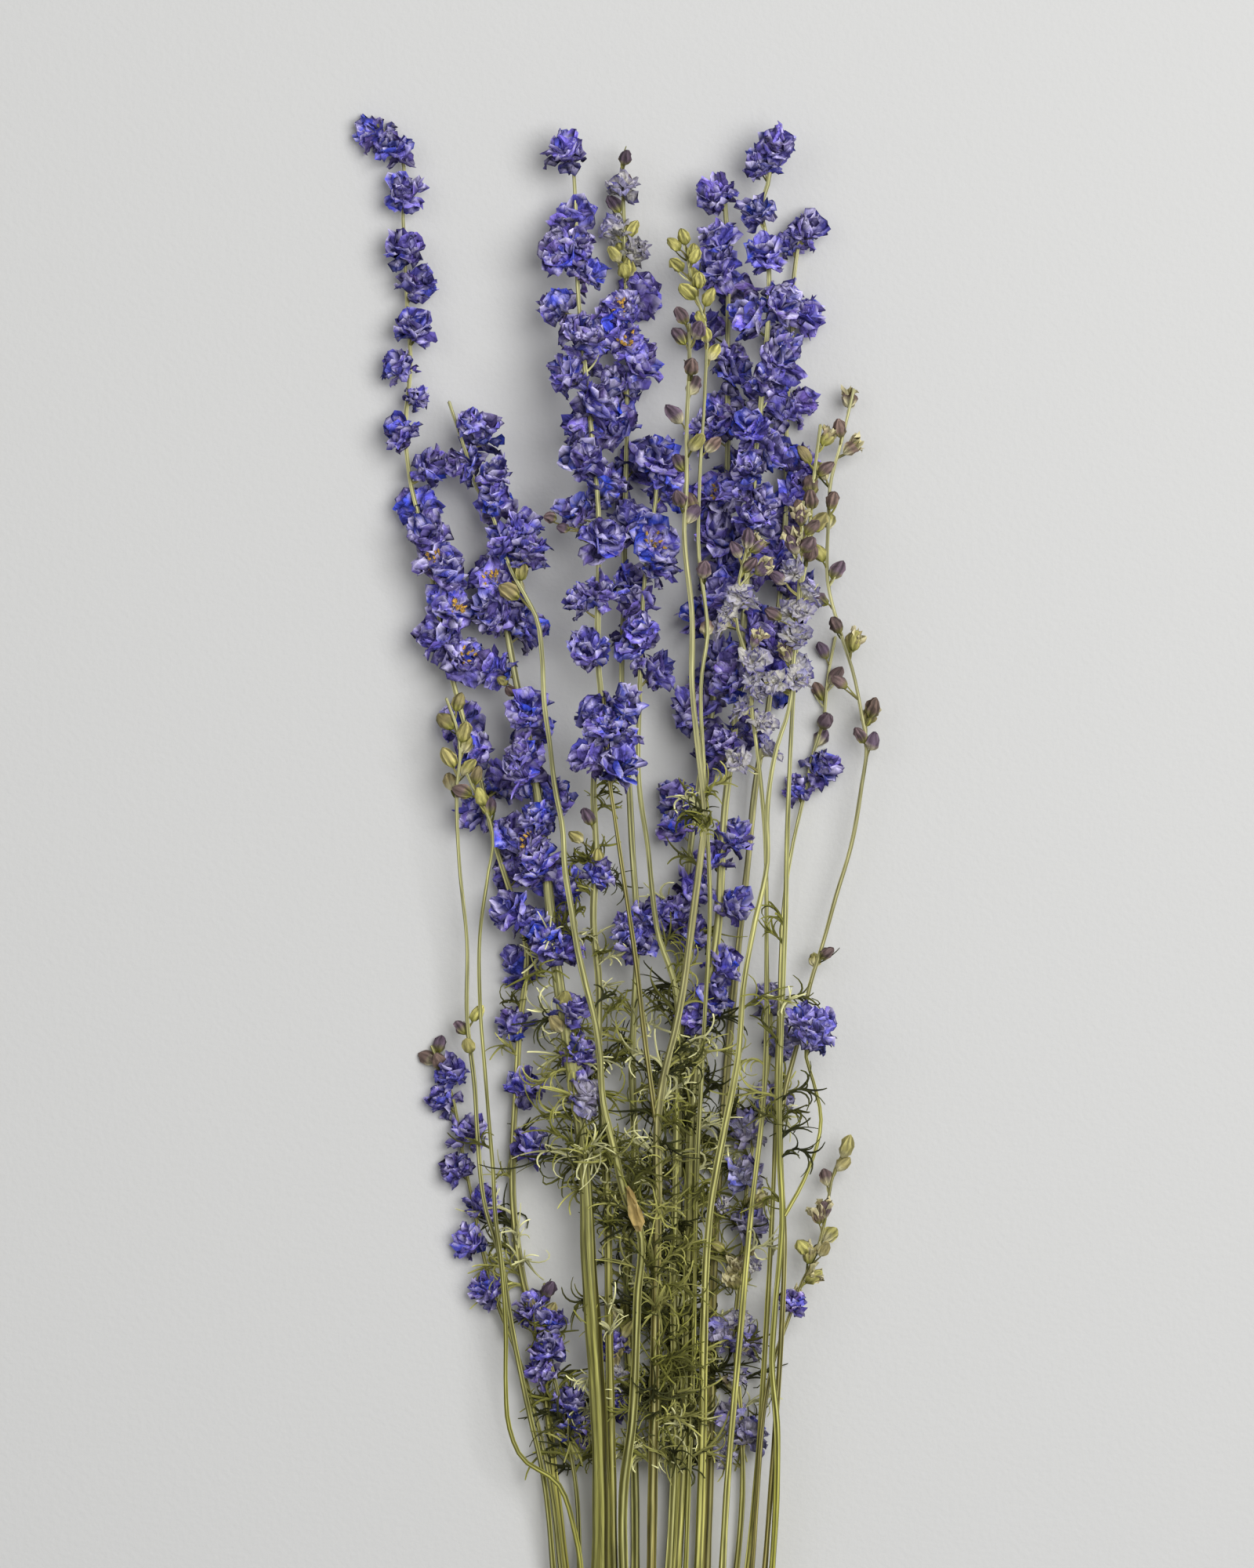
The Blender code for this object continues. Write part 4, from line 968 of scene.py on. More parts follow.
# The florets.
# Each is a double flower: five broad outer petals, seven narrower ones that fill its middle and three
# bent back under it, the innermost and bent-back ones darkened as painted shade. Drying has shrunk
# them into crumpled violet paper, bluer inside, with painted shade in the hollows and a painted
# lavender highlight on the folds. A few face up and show their stamens, and the palest are small
# ruffled rosettes.
PETAL_RINGS = np.array([0.04, 0.22, 0.42, 0.62, 0.82, 0.96])
ACROSS = np.array([1, 0.6, 0.2, -0.2, -0.6, -1, -0.6, -0.2, 0.2, 0.6])
FACE = np.array([0, 1, 1, 1, 1, 0, -1, -1, -1, -1])
FOLD = np.array([0, 1, 2, 3, 4, 5, 4, 3, 2, 1])
PETAL_THICKNESS = 0.14
# How many, angle from the floret's axis at the root and at the tip, length and width against its
# radius, brightness: below one it is painted shade on the innermost petals and on those bent back under it
WHORLS = dict(full=[(5, 28, 90, 1.16, 1.3, 1.0), (4, 12, 56, 1.36, 1.2, 1.0), (3, 2, 30, 1.44, 1.0, 0.9),
                    (3, 60, 140, 0.9, 1.1, 0.6)],
              more=[(4, 28, 90, 1.14, 1.3, 1.0), (4, 12, 54, 1.3, 1.15, 1.0), (2, 2, 28, 1.3, 1.0, 0.9),
                    (2, 60, 140, 0.9, 1.1, 0.6)],
              open=[(5, 44, 100, 1.2, 1.3, 1.0), (5, 32, 78, 1.1, 1.1, 1.0), (3, 26, 56, 0.8, 0.8, 0.9)],
              rosette=[(6, 30, 92, 1.05, 1.0, 1.0), (5, 18, 60, 1.0, 0.85, 1.0), (4, 2, 36, 0.9, 0.7, 0.9)],
              cream=[(6, 40, 96, 1.1, 1.05, 1.0), (5, 22, 64, 0.9, 0.85, 1.0), (4, 4, 40, 0.7, 0.7, 0.9)])
PLEAT = 0.62               # depth of a petal's pleats
CRUMPLE = 0.58             # unevenness of its surface
CALM = dict(rosette=0.5, cream=0.45)       # share of both that the petals of smoother styles have
WAVY = 0.32                # unevenness of its width
RAGGED = 0.9               # unevenness of its tip
PETAL_LENGTHS = (0.78, 1.07)
PETAL_WIDTHS = (0.78, 1.1)
ROOT_SWAY = 10             # spread of the angles at petals' roots and tips, in degrees
TIP_SWAY = 24
LEAST_SWING = 0.15         # that a petal bends, in radians
STAMENS = 14
STAMEN_SPREAD = 0.42
STAMEN_LENGTHS = (0.5, 0.8)
STAMEN_RADIUS = 0.24
ANTHER_LENGTH = 1.7
ANTHER_RADIUS = 0.62
STAMEN_RINGS = 4
STAMEN_SIDES = 5


def folds(rng, *counts):
    """Random heights of places on petals, the same on both faces."""
    return rng.normal(0, 1, (*counts, len(PETAL_RINGS), FOLD.max() + 1))[..., FOLD]


def petal_rings(out_way, side_way, axis, first, last, length, width, rng, rough=1.0):
    """Crumpled petals, each a flattened tube with a pointed oval outline.

    Its middle line bends from the angle `first` to `last`, measured from the floret's axis.
    Its width at u along it is 1.45 w u^0.7 (1 - u^3.5)^0.6. Pleats, a sine across the petal that
    grows along it, a random crumple and a curled edge shift it square to its surface.
    """
    total = len(first)
    u = PETAL_RINGS[None, :]
    swing = (last - first)[:, None]
    angle = first[:, None] + swing * u
    out = length[:, None] / swing * (np.cos(first)[:, None] - np.cos(angle))
    along = length[:, None] / swing * (np.sin(angle) - np.sin(first)[:, None])
    half = 0.5 * width[:, None] * 1.45 * u**0.7 * (1 - u**3.5) ** 0.6
    pleats = rng.uniform(1.4, 3.0, (total, 1, 1))
    phase = rng.uniform(0, 6.28, (total, 1, 1))
    noise = folds(rng, 3, total)
    ripple = np.sin(math.pi * pleats * ACROSS + phase + 1.5 * u[..., None])
    shift = PLEAT * (0.3 + u[..., None]) * ripple + CRUMPLE * noise[0]
    shift = rough * shift * np.minimum(1, 4 * u[..., None] + 0.1)
    curl = rng.uniform(-0.2, 0.6, (total, 1, 1))
    relief = shift + curl * half[..., None] * ACROSS**2
    relief = relief + PETAL_THICKNESS * np.sqrt(1 - ACROSS**2) * FACE
    across = half[..., None] * ACROSS + WAVY * noise[1]
    ragged = RAGGED * u[..., None] ** 2 * noise[2]
    twist = rng.uniform(-0.7, 0.7, (total, 1)) * u
    turned = across * np.cos(twist)[..., None] - relief * np.sin(twist)[..., None]
    raised = relief * np.cos(twist)[..., None] + across * np.sin(twist)[..., None]
    sine = np.sin(angle)[..., None]
    cosine = np.cos(angle)[..., None]
    far = out[..., None] - raised * cosine + ragged * sine
    high = along[..., None] + raised * sine + ragged * cosine
    rings = (far[..., None] * out_way[:, None, None] + turned[..., None] * side_way[:, None, None]
             + high[..., None] * axis[:, None, None])
    middle = rings.mean(axis=2)
    ends = np.stack([middle[:, 0] * 0.6, middle[:, -1] * 1.04], axis=1)
    grain = grid_points(half[..., None] * ACROSS, 0.3 * shift, (length[:, None] * u)[..., None])
    return rings, ends, shift, grain + rng.uniform(0, GRAIN_SPREAD, (total, 1, 1, 3))


def petal_ways(axis, inner, owner, around):
    """For petals at angles round their florets' axes, the directions outwards and across."""
    other = np.cross(axis, inner)
    out_way = inner[owner] * np.cos(around)[:, None] + other[owner] * np.sin(around)[:, None]
    return out_way, np.cross(axis[owner], out_way)


HOLLOW_SHADE_DYE = dye(22, 17, 66)
VIOLET_DYE = dye(130, 114, 208)
COBALT_DYE = dye(56, 80, 216)
PLUM_DYE = dye(112, 90, 152)
FOLD_HIGHLIGHT_DYE = dye(222, 214, 255)
CLAW_DYE = dye(206, 192, 192)
CREAM_DYE = dye(238, 234, 220)
LINE_DYE = dye(74, 64, 146)
HEART_DYE = dye(166, 160, 84)
ANTHER_DYE = dye(244, 194, 92)
# Where florets have faded: from y, to y, and how much
FADED = dict(spike_grey=[(380, 490, 0.9)], spike_pale_right=[(420, 500, 0.9)],
             spike_low_right=[(130, 310, 0.45)], spike_centre_right=[(590, 640, 0.85)],
             spike_thick_stem=[(255, 275, 0.6)], stalk_bud_right=[(270, 300, 0.1)])


def petal_tints(shift, florets, stalk, owner, rng):
    """Colours of petals: painted shade in the hollows, painted lavender highlight on the folds, cobalt
    patches, pale claws.

    Faded ones are cream with a violet line round the edge and a green heart, with painted shade and
    highlight by their folds.
    """
    total = len(shift)
    u = PETAL_RINGS[None, :, None]
    even = np.ones_like(shift)
    relief = np.clip(0.5 + shift / 3.0 + 0.16 * folds(rng, total), 0, 1)
    blue = rng.beta(0.5, 1.2, len(florets))[owner] * 0.4 + rng.beta(0.3, 0.9, total) * 0.8
    plum = rng.beta(0.6, 1.6, len(florets))[owner] * 0.9
    body = blend(VIOLET_DYE, PLUM_DYE, plum[:, None, None] * even)
    body = blend(body, COBALT_DYE, blue[:, None, None] * even)
    # Whole florets and single petals are made lighter or darker at random: painted light and shade for
    # petals that face different ways.
    body = body * rng.uniform(0.6, 1.35, (len(florets), 1, 1, 1))[owner]
    body = body * rng.uniform(0.5, 1.65, (total, 1, 1, 1))
    # By the height of the crumple: painted shade in the hollows and a painted lavender highlight on the
    # folds.
    tint = blend(HOLLOW_SHADE_DYE, body, 2.0 * relief - 0.15)
    tint = blend(tint, FOLD_HIGHLIGHT_DYE, 2.8 * (relief - 0.6))
    tint = blend(tint, CLAW_DYE, np.clip(0.45 - 1.6 * u, 0, 1) * even)
    y = values_of(florets, "root")[:, 1]
    share = (values_of(florets, "style") == "cream") * 1.0
    for low, high, amount in FADED.get(stalk["name"], []):
        share = np.maximum(share, amount * ((y >= low) & (y <= high)))
    edge = np.maximum(np.abs(ACROSS) ** 4 * u, u**6) * rng.uniform(0.4, 1.1, (total, 1, 1))
    # Faded petals too are darker in the hollows and paler on the folds: painted shade and highlight.
    pale = blend(CREAM_DYE * (0.5 + 0.6 * relief)[..., None], LINE_DYE, edge * even)
    pale = blend(pale, HEART_DYE, np.clip(1.1 - 3.2 * u, 0, 1) * even)
    lost = share[owner] * rng.uniform(0.7, 1.3, total)
    return blend(tint, pale, lost[:, None, None] * even)


def petal_part(stalk, pieces, style, rng):
    """The petals of a stalk's florets of one style: a set of rings for each whorl."""
    florets = [piece for piece in pieces if piece["style"] == style]
    if not florets:
        return []
    axis = values_of(florets, "axis")
    inner = values_of(florets, "inner")
    radius = values_of(florets, "size")
    foot = values_of(florets, "foot")
    roots = roots_of(stalk, florets)
    parts = []
    for count, root_angle, tip_angle, long, wide, painted_shade_level in WHORLS[style]:
        owner = np.repeat(np.arange(len(florets)), count)
        total = len(owner)
        around = np.tile(turns(count), len(florets))
        around = around + rng.uniform(0, 6.28, len(florets))[owner] + rng.uniform(-0.3, 0.3, total)
        out_way, side_way = petal_ways(axis, inner, owner, around)
        first = np.radians(root_angle + rng.uniform(-ROOT_SWAY, ROOT_SWAY, total))
        last = np.radians(tip_angle + rng.uniform(-TIP_SWAY, TIP_SWAY, total))
        last = np.maximum(last, first + LEAST_SWING)
        length = radius[owner] * long * rng.uniform(*PETAL_LENGTHS, total)
        width = radius[owner] * wide * rng.uniform(*PETAL_WIDTHS, total)
        rings, ends, shift, grain = petal_rings(out_way, side_way, axis[owner], first, last,
                                                length, width, rng, CALM.get(style, 1.0))
        rings, ends = set_down(rings, ends, roots[owner], FLATNESS["floret"], foot[owner])
        # A whorl's brightness below one is painted shade on the innermost and bent-back petals.
        parts.append((rings, ends, painted_shade_level * petal_tints(shift, florets, stalk, owner, rng), grain))
    return parts


def stamen_part(stalk, pieces, rng):
    """The stamens of the florets that face the eye: a thin thread each, and a fat short one on its end."""
    florets = [piece for piece in pieces if piece["style"] == "open"]
    if not florets:
        return []
    owner = np.repeat(np.arange(len(florets)), STAMENS)
    axis = values_of(florets, "axis")[owner]
    radius = values_of(florets, "size")[owner]
    roots = roots_of(stalk, florets)[owner]
    heading = unit(axis + STAMEN_SPREAD * rng.normal(0, 1, axis.shape))
    bend = unit(np.cross(heading, rng.normal(0, 1, axis.shape)))
    foot = values_of(florets, "foot")[owner]
    long = radius * rng.uniform(*STAMEN_LENGTHS, len(owner))
    same = np.ones(len(owner))
    parts = []
    for begin, length, thick, colour in ((0.0, long, STAMEN_RADIUS, CLAW_DYE),
                                         (0.95, ANTHER_LENGTH * same, ANTHER_RADIUS, ANTHER_DYE)):
        rings, ends = threads(heading, bend, length, 0.4 * same, thick * same, STAMEN_RINGS, STAMEN_SIDES)
        away = foot + heading * (begin * long)[:, None]
        rings, ends = set_down(rings, ends, roots, FLATNESS["floret"], away)
        tint = np.broadcast_to(colour, rings.shape) * rng.uniform(0.6, 1.2, (len(owner), 1, 1, 1))
        parts.append((rings, ends, tint, plain_grain(rings, rng)))
    return parts


# Its lavender ridge colour is a painted highlight on the crumpled petals.
PETAL_FINISH = dry_finish("crumpled_petal", across=1.1, along=0.5, contrast=0.7,
                          fleck_and_highlight=dye(216, 208, 253), fleck_and_highlight_share=0.8, depth=0.9, roughness=0.6)
FADED_FINISH = dry_finish("faded_petal", across=1.0, along=0.5, contrast=0.4,
                          fleck_and_highlight=dye(92, 82, 140), fleck_and_highlight_share=0.2, depth=0.4, roughness=0.7)
for number, stalk in enumerate(LAID):
    rng = np.random.default_rng(400 + number)
    pieces = DRESSED[number]
    parts = stamen_part(stalk, pieces, rng)
    for style in WHORLS:
        parts += petal_part(stalk, pieces, style, rng)
    pale = stalk["name"] in PALE_STALKS
    bundle("florets", stalk, FADED_FINISH if pale else PETAL_FINISH,
           parts, crease=0.22)

# The buds.
# Closed, ribbed and pointed, on short side stalks. Light has faded those at the tips of their
# stalks to yellow-green. The rest have dried brown or violet, and a few have split open.
BUD_RINGS = np.array([0.02, 0.12, 0.28, 0.46, 0.64, 0.8, 0.93])
BUD_SIDES = 12
BUD_RIBS = 6
BUD_RIB_HEIGHT = 0.1       # against its radius
BUD_UNEVEN = 0.1
BUD_BEND = 0.12            # how far its tip is bent aside, against its length
BUD_FLATNESS = 0.8
BUD_LIMITS = (5.0, 10.0)   # of its length
SPLIT_SHARE = 0.35         # of the buds of stalks where some have split open
LOBES = 4                  # of such a bud
LOBE_LENGTHS = (7.0, 9.5)
LOBE_WIDTH = 0.5           # against its length
BUD_LEAF = dye(150, 150, 66)
BUD_GREEN = dye(206, 200, 116)
BUD_BROWN = dye(134, 112, 98)
BUD_VIOLET = dye(110, 92, 112)
BUD_CREAM = dye(226, 218, 172)
# Where a stalk's buds have stayed green: from y, to y, and the share of them
GREEN_BUDS = dict(stalk_thin_centre=(535, 610, 1.0), stalk_forked=(0, 610, 0.05),
                  stalk_bud_right=(476, 540, 0.6), stalk_far_right=(0, 600, 0.3),
                  sprig_bud_right=(0, 300, 0.5), stalk_bud_left=(0, 500, 0.75),
                  stalk_looped_left=(0, 500, 0.7), sprig_base_left=(0, 300, 0.9),
                  sprig_base_middle=(0, 300, 0.9), spike_low_right=(0, 300, 0.8),
                  spike_centre_right=(0, 606, 1.0), spike_centre_left=(0, 610, 0.6),
                  spike_thick_stem=(0, 600, 0.6), spike_left_front=(0, 600, 1.0))
FRESH_BUDS = ("stalk_thin_centre", "spike_centre_right")
OPEN_BUDS = ("sprig_bud_right", "stalk_far_right", "spike_pale_right", "spike_low_right", "spike_grey",
             "stalk_bud_right")


def bud_part(stalk, pieces, rng):
    """A stalk's buds: half the width at t along the axis is 2.2 f t^0.55 (1 - t)^0.62, f its fatness.

    Ribs, a cosine round it, and a random unevenness are in proportion to that. It bends by t squared.
    """
    buds = [piece for piece in pieces if piece["kind"] == "bud"]
    if not buds:
        return []
    axis = values_of(buds, "axis")[:, None, None]
    inner = values_of(buds, "inner")[:, None, None]
    foot = values_of(buds, "foot")
    count = len(buds)
    length = np.clip(values_of(buds, "long"), *BUD_LIMITS)[:, None, None, None]
    t = BUD_RINGS[None, :, None, None]
    turn = turns(BUD_SIDES)[None, None, :, None]
    ribs = np.cos(BUD_RIBS * turn + 1.2 * t + rng.uniform(0, 6, (count, 1, 1, 1)))
    fat = BUD_RADIUS * rng.uniform(0.9, 1.15, (count, 1, 1, 1)) * np.sqrt(length / 8)
    out = fat * 2.2 * t**0.55 * (1 - t) ** 0.62 * (1 + BUD_RIB_HEIGHT * ribs)
    out = out * (1 + BUD_UNEVEN * rng.normal(0, 1, (count, len(BUD_RINGS), BUD_SIDES, 1)))
    bend = BUD_BEND * length * t**2
    rings = (inner * np.cos(turn) + np.cross(axis, inner) * np.sin(turn)) * out
    rings = rings + axis * (length * t) + inner * bend + foot[:, None, None]
    tip = foot + axis[:, 0, 0] * length[:, 0, 0] * 1.02 + inner[:, 0, 0] * length[:, 0, 0] * BUD_BEND
    rings, ends = set_down(rings, np.stack([foot - axis[:, 0, 0] * 0.3, tip], axis=1),
                           roots_of(stalk, buds), BUD_FLATNESS)
    low, high, share = GREEN_BUDS.get(stalk["name"], (0, 0, 0.0))
    y = values_of(buds, "root")[:, 1]
    green = (y >= low) & (y <= high) & (rng.uniform(0, 1, count) < share)
    shape = (count, len(BUD_RINGS), BUD_SIDES)
    level = np.broadcast_to(t[..., 0], shape)
    brown = blend(BUD_BROWN, BUD_VIOLET, rng.uniform(0, 1, count))
    fresh = blend(BUD_GREEN, BUD_BROWN, rng.uniform(0, 0.2 if stalk["name"] in FRESH_BUDS else 0.75, count))
    tone = np.where(green[:, None], fresh, brown)
    tone = tone * rng.uniform(0.75, 1.15, (count, 1))
    base = np.where(rng.uniform(0, 1, (count, 1)) < 0.6, BUD_LEAF, BUD_CREAM)
    tint = blend(np.broadcast_to(base[:, None, None], shape + (3,)), tone[:, None, None], 2.6 * level - 0.1)
    # Pale ribs and darker grooves between them. The dark of the grooves is painted shade.
    tint = tint * (0.8 + 0.45 * np.broadcast_to(ribs[..., 0], shape))[..., None]
    grain = grid_points(2 * np.cos(turn[..., 0]), 2 * np.sin(turn[..., 0]), 10 * t[..., 0])
    return [(rings, ends, tint, grain + rng.uniform(0, GRAIN_SPREAD, (count, 1, 1, 3)))]


def split_part(stalk, pieces, rng):
    """The pointed lobes of the buds that have split: four narrow petals each, cream at the edge."""
    split = [piece for piece in pieces if piece["kind"] == "bud" and rng.uniform() < SPLIT_SHARE]
    if not split or stalk["name"] not in OPEN_BUDS:
        return []
    axis = values_of(split, "axis")
    owner = np.repeat(np.arange(len(split)), LOBES)
    around = np.tile(turns(LOBES), len(split)) + rng.uniform(-0.3, 0.3, len(owner))
    out_way, side_way = petal_ways(axis, values_of(split, "inner"), owner, around)
    first = rng.uniform(0.2, 0.36, len(owner))
    length = rng.uniform(*LOBE_LENGTHS, len(owner))
    last = first + rng.uniform(0.05, 0.5, len(owner))
    rings, ends, shift, grain = petal_rings(out_way, side_way, axis[owner], first, last, length,
                                            LOBE_WIDTH * length, rng)
    rings, ends = set_down(rings, ends, roots_of(stalk, split)[owner], BUD_FLATNESS,
                           values_of(split, "foot")[owner])
    # Cream at the edges and tips, and a little paler on the raised folds as painted highlight.
    edge = np.clip(np.abs(ACROSS) ** 4 + PETAL_RINGS[:, None] ** 6 + 0.1 * shift, 0, 1) * 0.8
    tone = blend(BUD_BROWN, BUD_LEAF, rng.uniform(0, 0.6, len(owner)))[:, None, None]
    return [(rings, ends, blend(np.broadcast_to(tone, rings.shape), BUD_CREAM, edge), grain)]


BUD_FINISH = dry_finish("dry_bud", across=1.4, along=0.3, contrast=0.8,
                        fleck_and_highlight=dye(214, 204, 160), fleck_and_highlight_share=0.45, depth=0.4, roughness=0.6)
for number, stalk in enumerate(LAID):
    rng = np.random.default_rng(500 + number)
    parts = bud_part(stalk, DRESSED[number], rng) + split_part(stalk, DRESSED[number], rng)
    bundle("buds", stalk, BUD_FINISH, parts)

# The leaves.
# Ferny leaves that have dried into tangles of thin curled threads, each on a short stalk of its
# own, and a small narrow leaf at the foot of most florets and buds.
LEAF_THREADS = 9
THREAD_RINGS = 7
THREAD_SIDES = 4
LEAF_STALK = 0.75          # length of a leaf's own stalk, against the leaf's
LEAF_STALK_RADIUS = 0.6
THREAD_LENGTHS = (0.4, 0.9)                # against the leaf's
THREAD_RADII = (0.36, 0.62)
BRACT_LENGTHS = (6, 12)
BRACT_CURLS = (0.4, 1.8)
BRACT_RADII = (0.35, 0.55)
LEAF_FLATNESS = 0.5
BRACT_FLATNESS = 0.6
BRACT_SHARE = 0.6          # of the florets and buds that have a leaf below them
LEAF_DYES = [dye(56, 58, 22), dye(82, 82, 32), dye(118, 118, 52), dye(152, 150, 82), dye(204, 202, 148)]
WITHERED_ON = "spike_left_front"
WITHERED_Y = 236
WITHERED_SIZE = (20.0, 5.5)
WITHERED_DYE = dye(132, 108, 56)
STRAW_DYE = dye(206, 184, 122)
# More leaves than the plain solids have: from y, to y, how many, length
TUFTS = dict(
    spike_thick_stem=[(238, 246, 16, 27), (255, 300, 14, 20), (300, 345, 9, 17)],
    spike_far_left=[(195, 225, 8, 20), (225, 330, 7, 14)],
    spike_centre_left=[(121, 200, 9, 16), (200, 303, 24, 19), (303, 345, 5, 16), (345, 398, 12, 15)],
    spike_centre_right=[(284, 303, 5, 18), (179, 209, 4, 20), (221, 248, 4, 18)],
    stalk_forked=[(226, 300, 20, 20), (165, 220, 24, 24), (121, 165, 20, 22), (332, 388, 9, 14)],
    spike_middle_low=[(300, 336, 6, 18), (121, 245, 24, 24)],
    spike_right_inner=[(300, 345, 6, 18), (230, 282, 16, 20), (121, 220, 28, 22)],
    spike_right_tall=[(239, 300, 16, 22), (121, 235, 22, 22)], spike_right_outer=[(121, 260, 24, 20)],
    sprig_base_left=[(121, 152, 16, 18), (152, 180, 5, 14)], sprig_base_middle=[(124, 150, 4, 16)],
    spike_low_right=[(215, 300, 8, 18), (130, 180, 4, 18)],
    stalk_bud_right=[(221, 300, 6, 18), (300, 336, 3, 14)],
    stalk_far_right=[(240, 290, 3, 16)], spike_left_front=[(200, 250, 9, 18), (300, 340, 3, 14)])


def leaf_stalks(stalk, rng):
    """A stalk's leaf stalks as grown pieces, those of its extra tufts with them."""
    found = [piece for piece in stalk["pieces"] if piece["kind"] == "leaf"]
    for low, high, count, size in TUFTS.get(stalk["name"], []):
        for y in rng.uniform(low, high, count):
            piece = growth(stalk["runs"][0], y, rng.uniform(0, 2 * math.pi), rng.uniform(0.25, 0.85))
            found.append(dict(piece, size=size * rng.uniform(0.8, 1.1)))
    return found


def leaf_tones(count, rng):
    """A colour for each of so many leaves."""
    return np.array(LEAF_DYES)[rng.integers(len(LEAF_DYES), size=count)][:, None, None]


def leaf_part(stalk, rng):
    """Leaves as an arc for each leaf stalk and curled side threads that start along it."""
    found = leaf_stalks(stalk, rng)
    if not found:
        return []
    roots = roots_of(stalk, found)
    heading = values_of(found, "axis")
    bend = values_of(found, "inner")
    size = values_of(found, "size")
    total = len(found)
    curl = rng.uniform(0.5, 1.6, total)
    length = LEAF_STALK * size
    rings, ends = threads(heading, bend, length, curl, np.full(total, LEAF_STALK_RADIUS),
                          THREAD_RINGS, THREAD_SIDES)
    rings, ends = set_down(rings, ends, roots, LEAF_FLATNESS)
    tone = leaf_tones(total, rng)
    parts = [(rings, ends, np.broadcast_to(tone, rings.shape), plain_grain(rings, rng))]
    owner = np.repeat(np.arange(total), LEAF_THREADS)
    many = len(owner)
    t = rng.uniform(0.1, 0.98, many)[:, None]
    turn = curl[owner][:, None]
    start = (length / curl)[owner][:, None] * (np.sin(turn * t) * heading[owner]
                                               + (1 - np.cos(turn * t)) * bend[owner])
    ahead = np.cos(turn * t) * heading[owner] + np.sin(turn * t) * bend[owner]
    away = unit(np.cross(ahead, rng.normal(0, 1, (many, 3))))
    lean = rng.uniform(0.1, 0.5, many)[:, None]
    side_heading = np.cos(lean) * ahead + np.sin(lean) * away
    side_bend = unit(np.cross(side_heading, rng.normal(0, 1, (many, 3))))
    long = size[owner] * rng.uniform(*THREAD_LENGTHS, many)
    side_curl = 0.6 + 3.8 * rng.beta(0.9, 1.4, many)
    radius = rng.uniform(*THREAD_RADII, many)
    rings, ends = threads(side_heading, side_bend, long, side_curl, radius, THREAD_RINGS, THREAD_SIDES)
    rings, ends = set_down(rings, ends, roots[owner], LEAF_FLATNESS, start)
    lighter = (0.55 + 0.95 * np.linspace(0, 1, THREAD_RINGS) ** 1.5)[None, :, None, None]
    tint = tone[owner] * rng.uniform(0.55, 1.45, (many, 1, 1, 1)) * lighter
    parts.append((rings, ends, np.broadcast_to(tint, rings.shape), plain_grain(rings, rng)))
    return parts


def bract_part(stalk, pieces, rng):
    """The narrow leaf under a floret or a bud, bent along its side stalk."""
    pieces = [piece for piece in pieces if rng.uniform() < BRACT_SHARE]
    if not pieces:
        return []
    axis = values_of(pieces, "axis")
    inner = values_of(pieces, "inner")
    count = len(pieces)
    other = np.cross(axis, inner) * rng.choice([-1, 1], (count, 1))
    heading = unit(axis + 0.5 * other + 0.3 * inner)
    bend = unit(np.cross(heading, np.cross(axis, heading)))
    length = rng.uniform(*BRACT_LENGTHS, count)
    curl = rng.uniform(*BRACT_CURLS, count)
    radius = rng.uniform(*BRACT_RADII, count)
    rings, ends = threads(heading, bend, length, curl, radius, THREAD_RINGS, THREAD_SIDES)
    rings, ends = set_down(rings, ends, roots_of(stalk, pieces), BRACT_FLATNESS)
    tone = leaf_tones(count, rng)
    return [(rings, ends, np.broadcast_to(tone, rings.shape), plain_grain(rings, rng))]


def withered_part(stalk, rng):
    """The one broad leaf, brown and papery, that hangs down along its stem."""
    root = growth(stalk["runs"][0], WITHERED_Y, 0.0, 0.0)
    axis = unit(np.array([[0.3, -1.0, 0.12]]))
    side = unit(np.cross(axis, UP))
    first, last, length, width = np.array([[0.1], [0.35], [WITHERED_SIZE[0]], [WITHERED_SIZE[1]]])
    rings, ends, shift, grain = petal_rings(np.cross(side, axis), side, axis, first, last, length,
                                            width, rng)
    lift = np.array([[2.0, 0.0, 2.2]])
    rings, ends = set_down(rings, ends, roots_of(stalk, [root]), 1.0, lift)
    # Its own brown and straw are laid out by the height of its folds, so the raised folds carry a painted
    # highlight and the hollows painted shade.
    tint = blend(WITHERED_DYE, STRAW_DYE, 0.4 + 0.5 * shift)
    return [(rings, ends, tint, grain)]


LEAF_FINISH = dry_finish("curled_thread", across=1.2, along=0.3, contrast=0.6,
                         fleck_and_highlight=dye(70, 60, 34), fleck_and_highlight_share=0.3, depth=0.15, roughness=0.7)
for number, stalk in enumerate(LAID):
    rng = np.random.default_rng(600 + number)
    parts = leaf_part(stalk, rng) + bract_part(stalk, DRESSED[number], rng)
    if stalk["name"] == WITHERED_ON:
        parts += withered_part(stalk, rng)
    bundle("leaves", stalk, LEAF_FINISH, parts)

# The floor, the light and the camera.
# A plain pale floor with a fine plaster grain, a soft light from the right with a weak one from the
# left, and the camera straight above, with the tips towards the top of the picture.
FLOOR_HALF = 3.0
PLASTER_COLOUR = (0.72, 0.72, 0.71, 1.0)
CAMERA_HEIGHT = 5.0
SHARP_HEIGHT = 0.03        # height over the floor at which the picture has its true scale
PICTURE_TALL = 0.606       # metres of the bunch from the picture's bottom edge to its top
PICTURE_MIDDLE = (0.005, 0.0647)
LIGHT_AIM = (0.0, 0.06, 0.0)

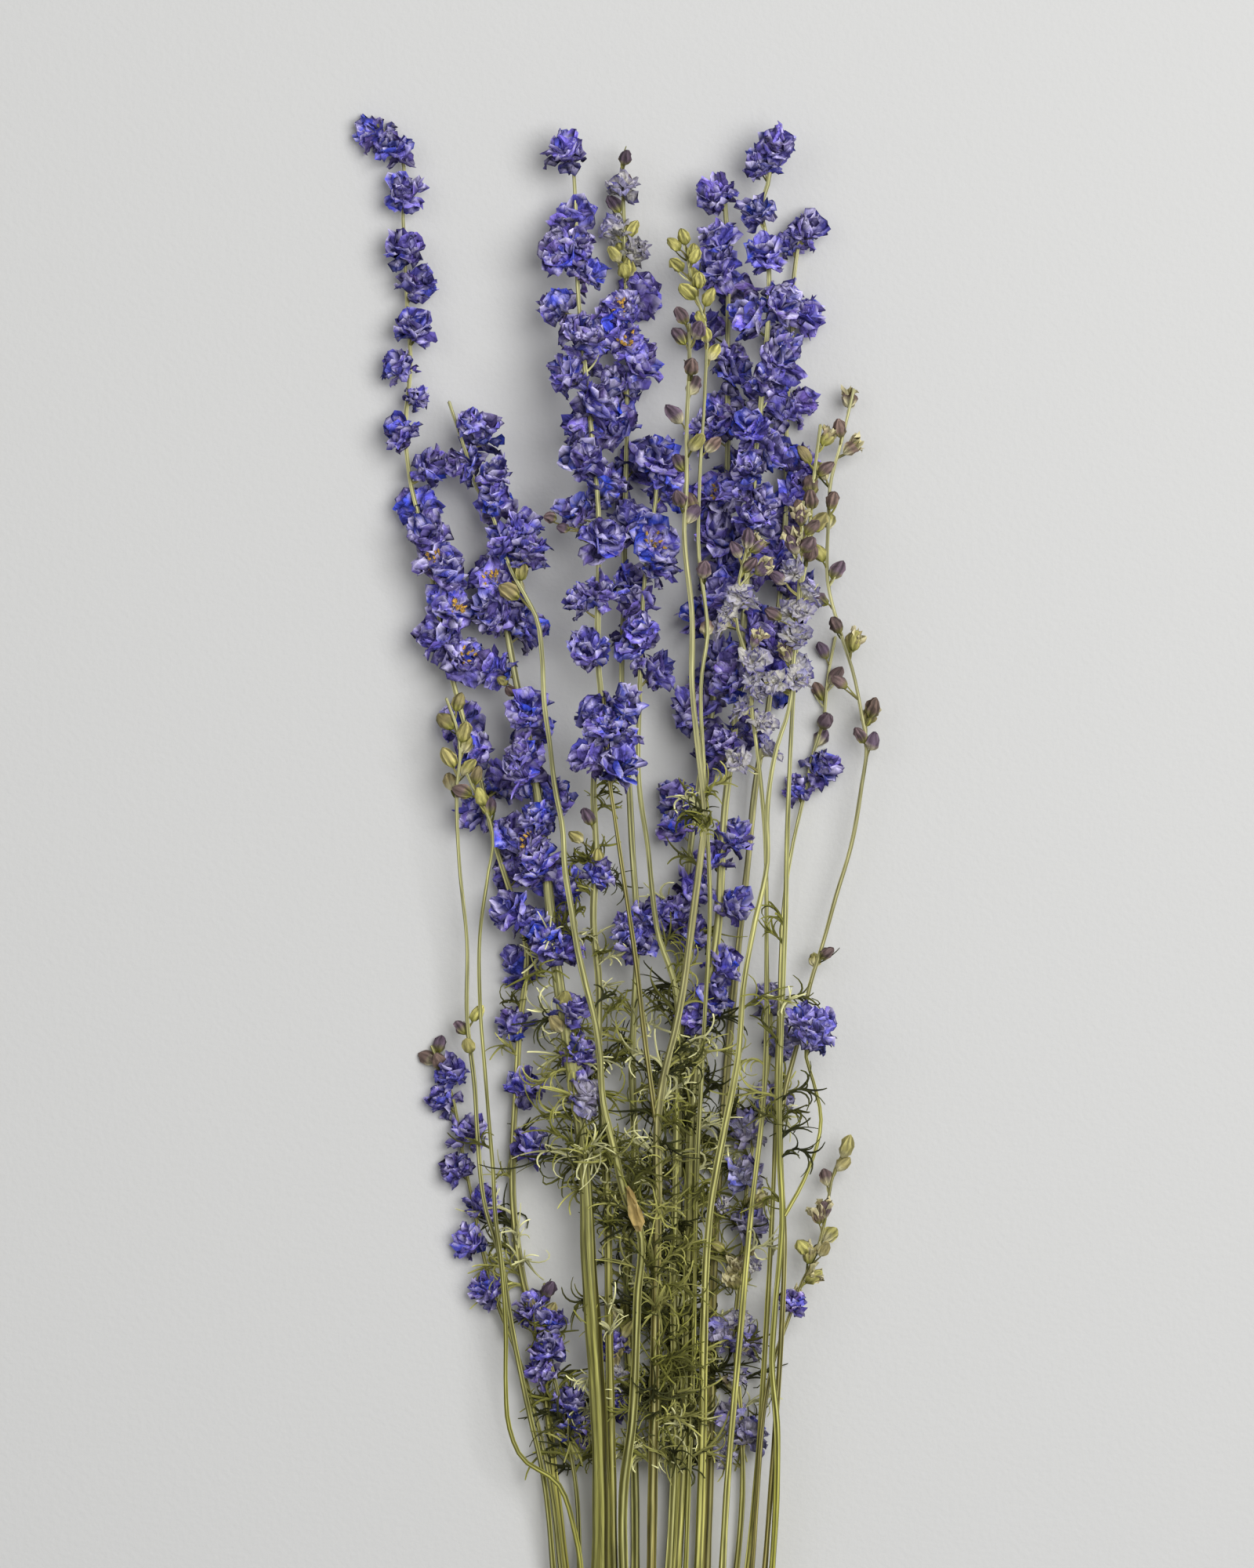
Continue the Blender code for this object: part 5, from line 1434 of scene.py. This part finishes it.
floor_mesh = bpy.data.meshes.new("floor")
floor_mesh.from_pydata([(-FLOOR_HALF, -FLOOR_HALF, 0), (FLOOR_HALF, -FLOOR_HALF, 0),
                        (FLOOR_HALF, FLOOR_HALF, 0), (-FLOOR_HALF, FLOOR_HALF, 0)], [], [(0, 1, 2, 3)])
floor = in_scene("floor", floor_mesh)
plaster = bpy.data.materials.new("pale_plaster")
plaster.use_nodes = True
tree = plaster.node_tree
place = shade_node(tree, "ShaderNodeTexCoord", {})
grit = shade_node(tree, "ShaderNodeTexNoise",
                  {"Vector": place.outputs["Object"], "Scale": 420.0, "Detail": 3.0})
bump = shade_node(tree, "ShaderNodeBump",
                  {"Strength": 0.5, "Distance": 0.4 * MM, "Height": grit.outputs["Fac"]})
plug_in(tree, tree.nodes["Principled BSDF"],
        {"Base Color": PLASTER_COLOUR, "Roughness": 0.9, "Specular IOR Level": 0.1,
         "Normal": bump.outputs["Normal"]})
floor_mesh.materials.append(plaster)


def soft_light(name, place, size, power):
    """A square soft light over the bunch: tipped from straight down, then turned to face it."""
    lamp = bpy.data.lights.new(name, "AREA")
    lamp.energy = power
    lamp.size = size
    way = unit(np.array(LIGHT_AIM) - np.array(place))
    holder = in_scene(name, lamp)
    holder.location = place
    holder.rotation_euler = (math.acos(-way[2]), 0, math.atan2(-way[0], way[1]))


soft_light("key", place=(1.1, 0.6, 2.4), size=2.0, power=60.0)
soft_light("fill", place=(-1.6, 1.0, 2.4), size=1.8, power=7.0)
world = bpy.data.worlds.new("studio")
world.use_nodes = True
plug_in(world.node_tree, world.node_tree.nodes["Background"],
        {"Color": (1.0, 1.0, 1.0, 1.0), "Strength": 0.26})
bpy.context.scene.world = world

eye = bpy.data.cameras.new("camera")
eye.sensor_fit = "VERTICAL"
eye.sensor_height = 36.0
eye.lens = eye.sensor_height * (CAMERA_HEIGHT - SHARP_HEIGHT) / PICTURE_TALL
camera = in_scene("camera", eye)
camera.location = (*PICTURE_MIDDLE, CAMERA_HEIGHT)
bpy.context.scene.camera = camera
bpy.context.scene.view_settings.view_transform = "Standard"
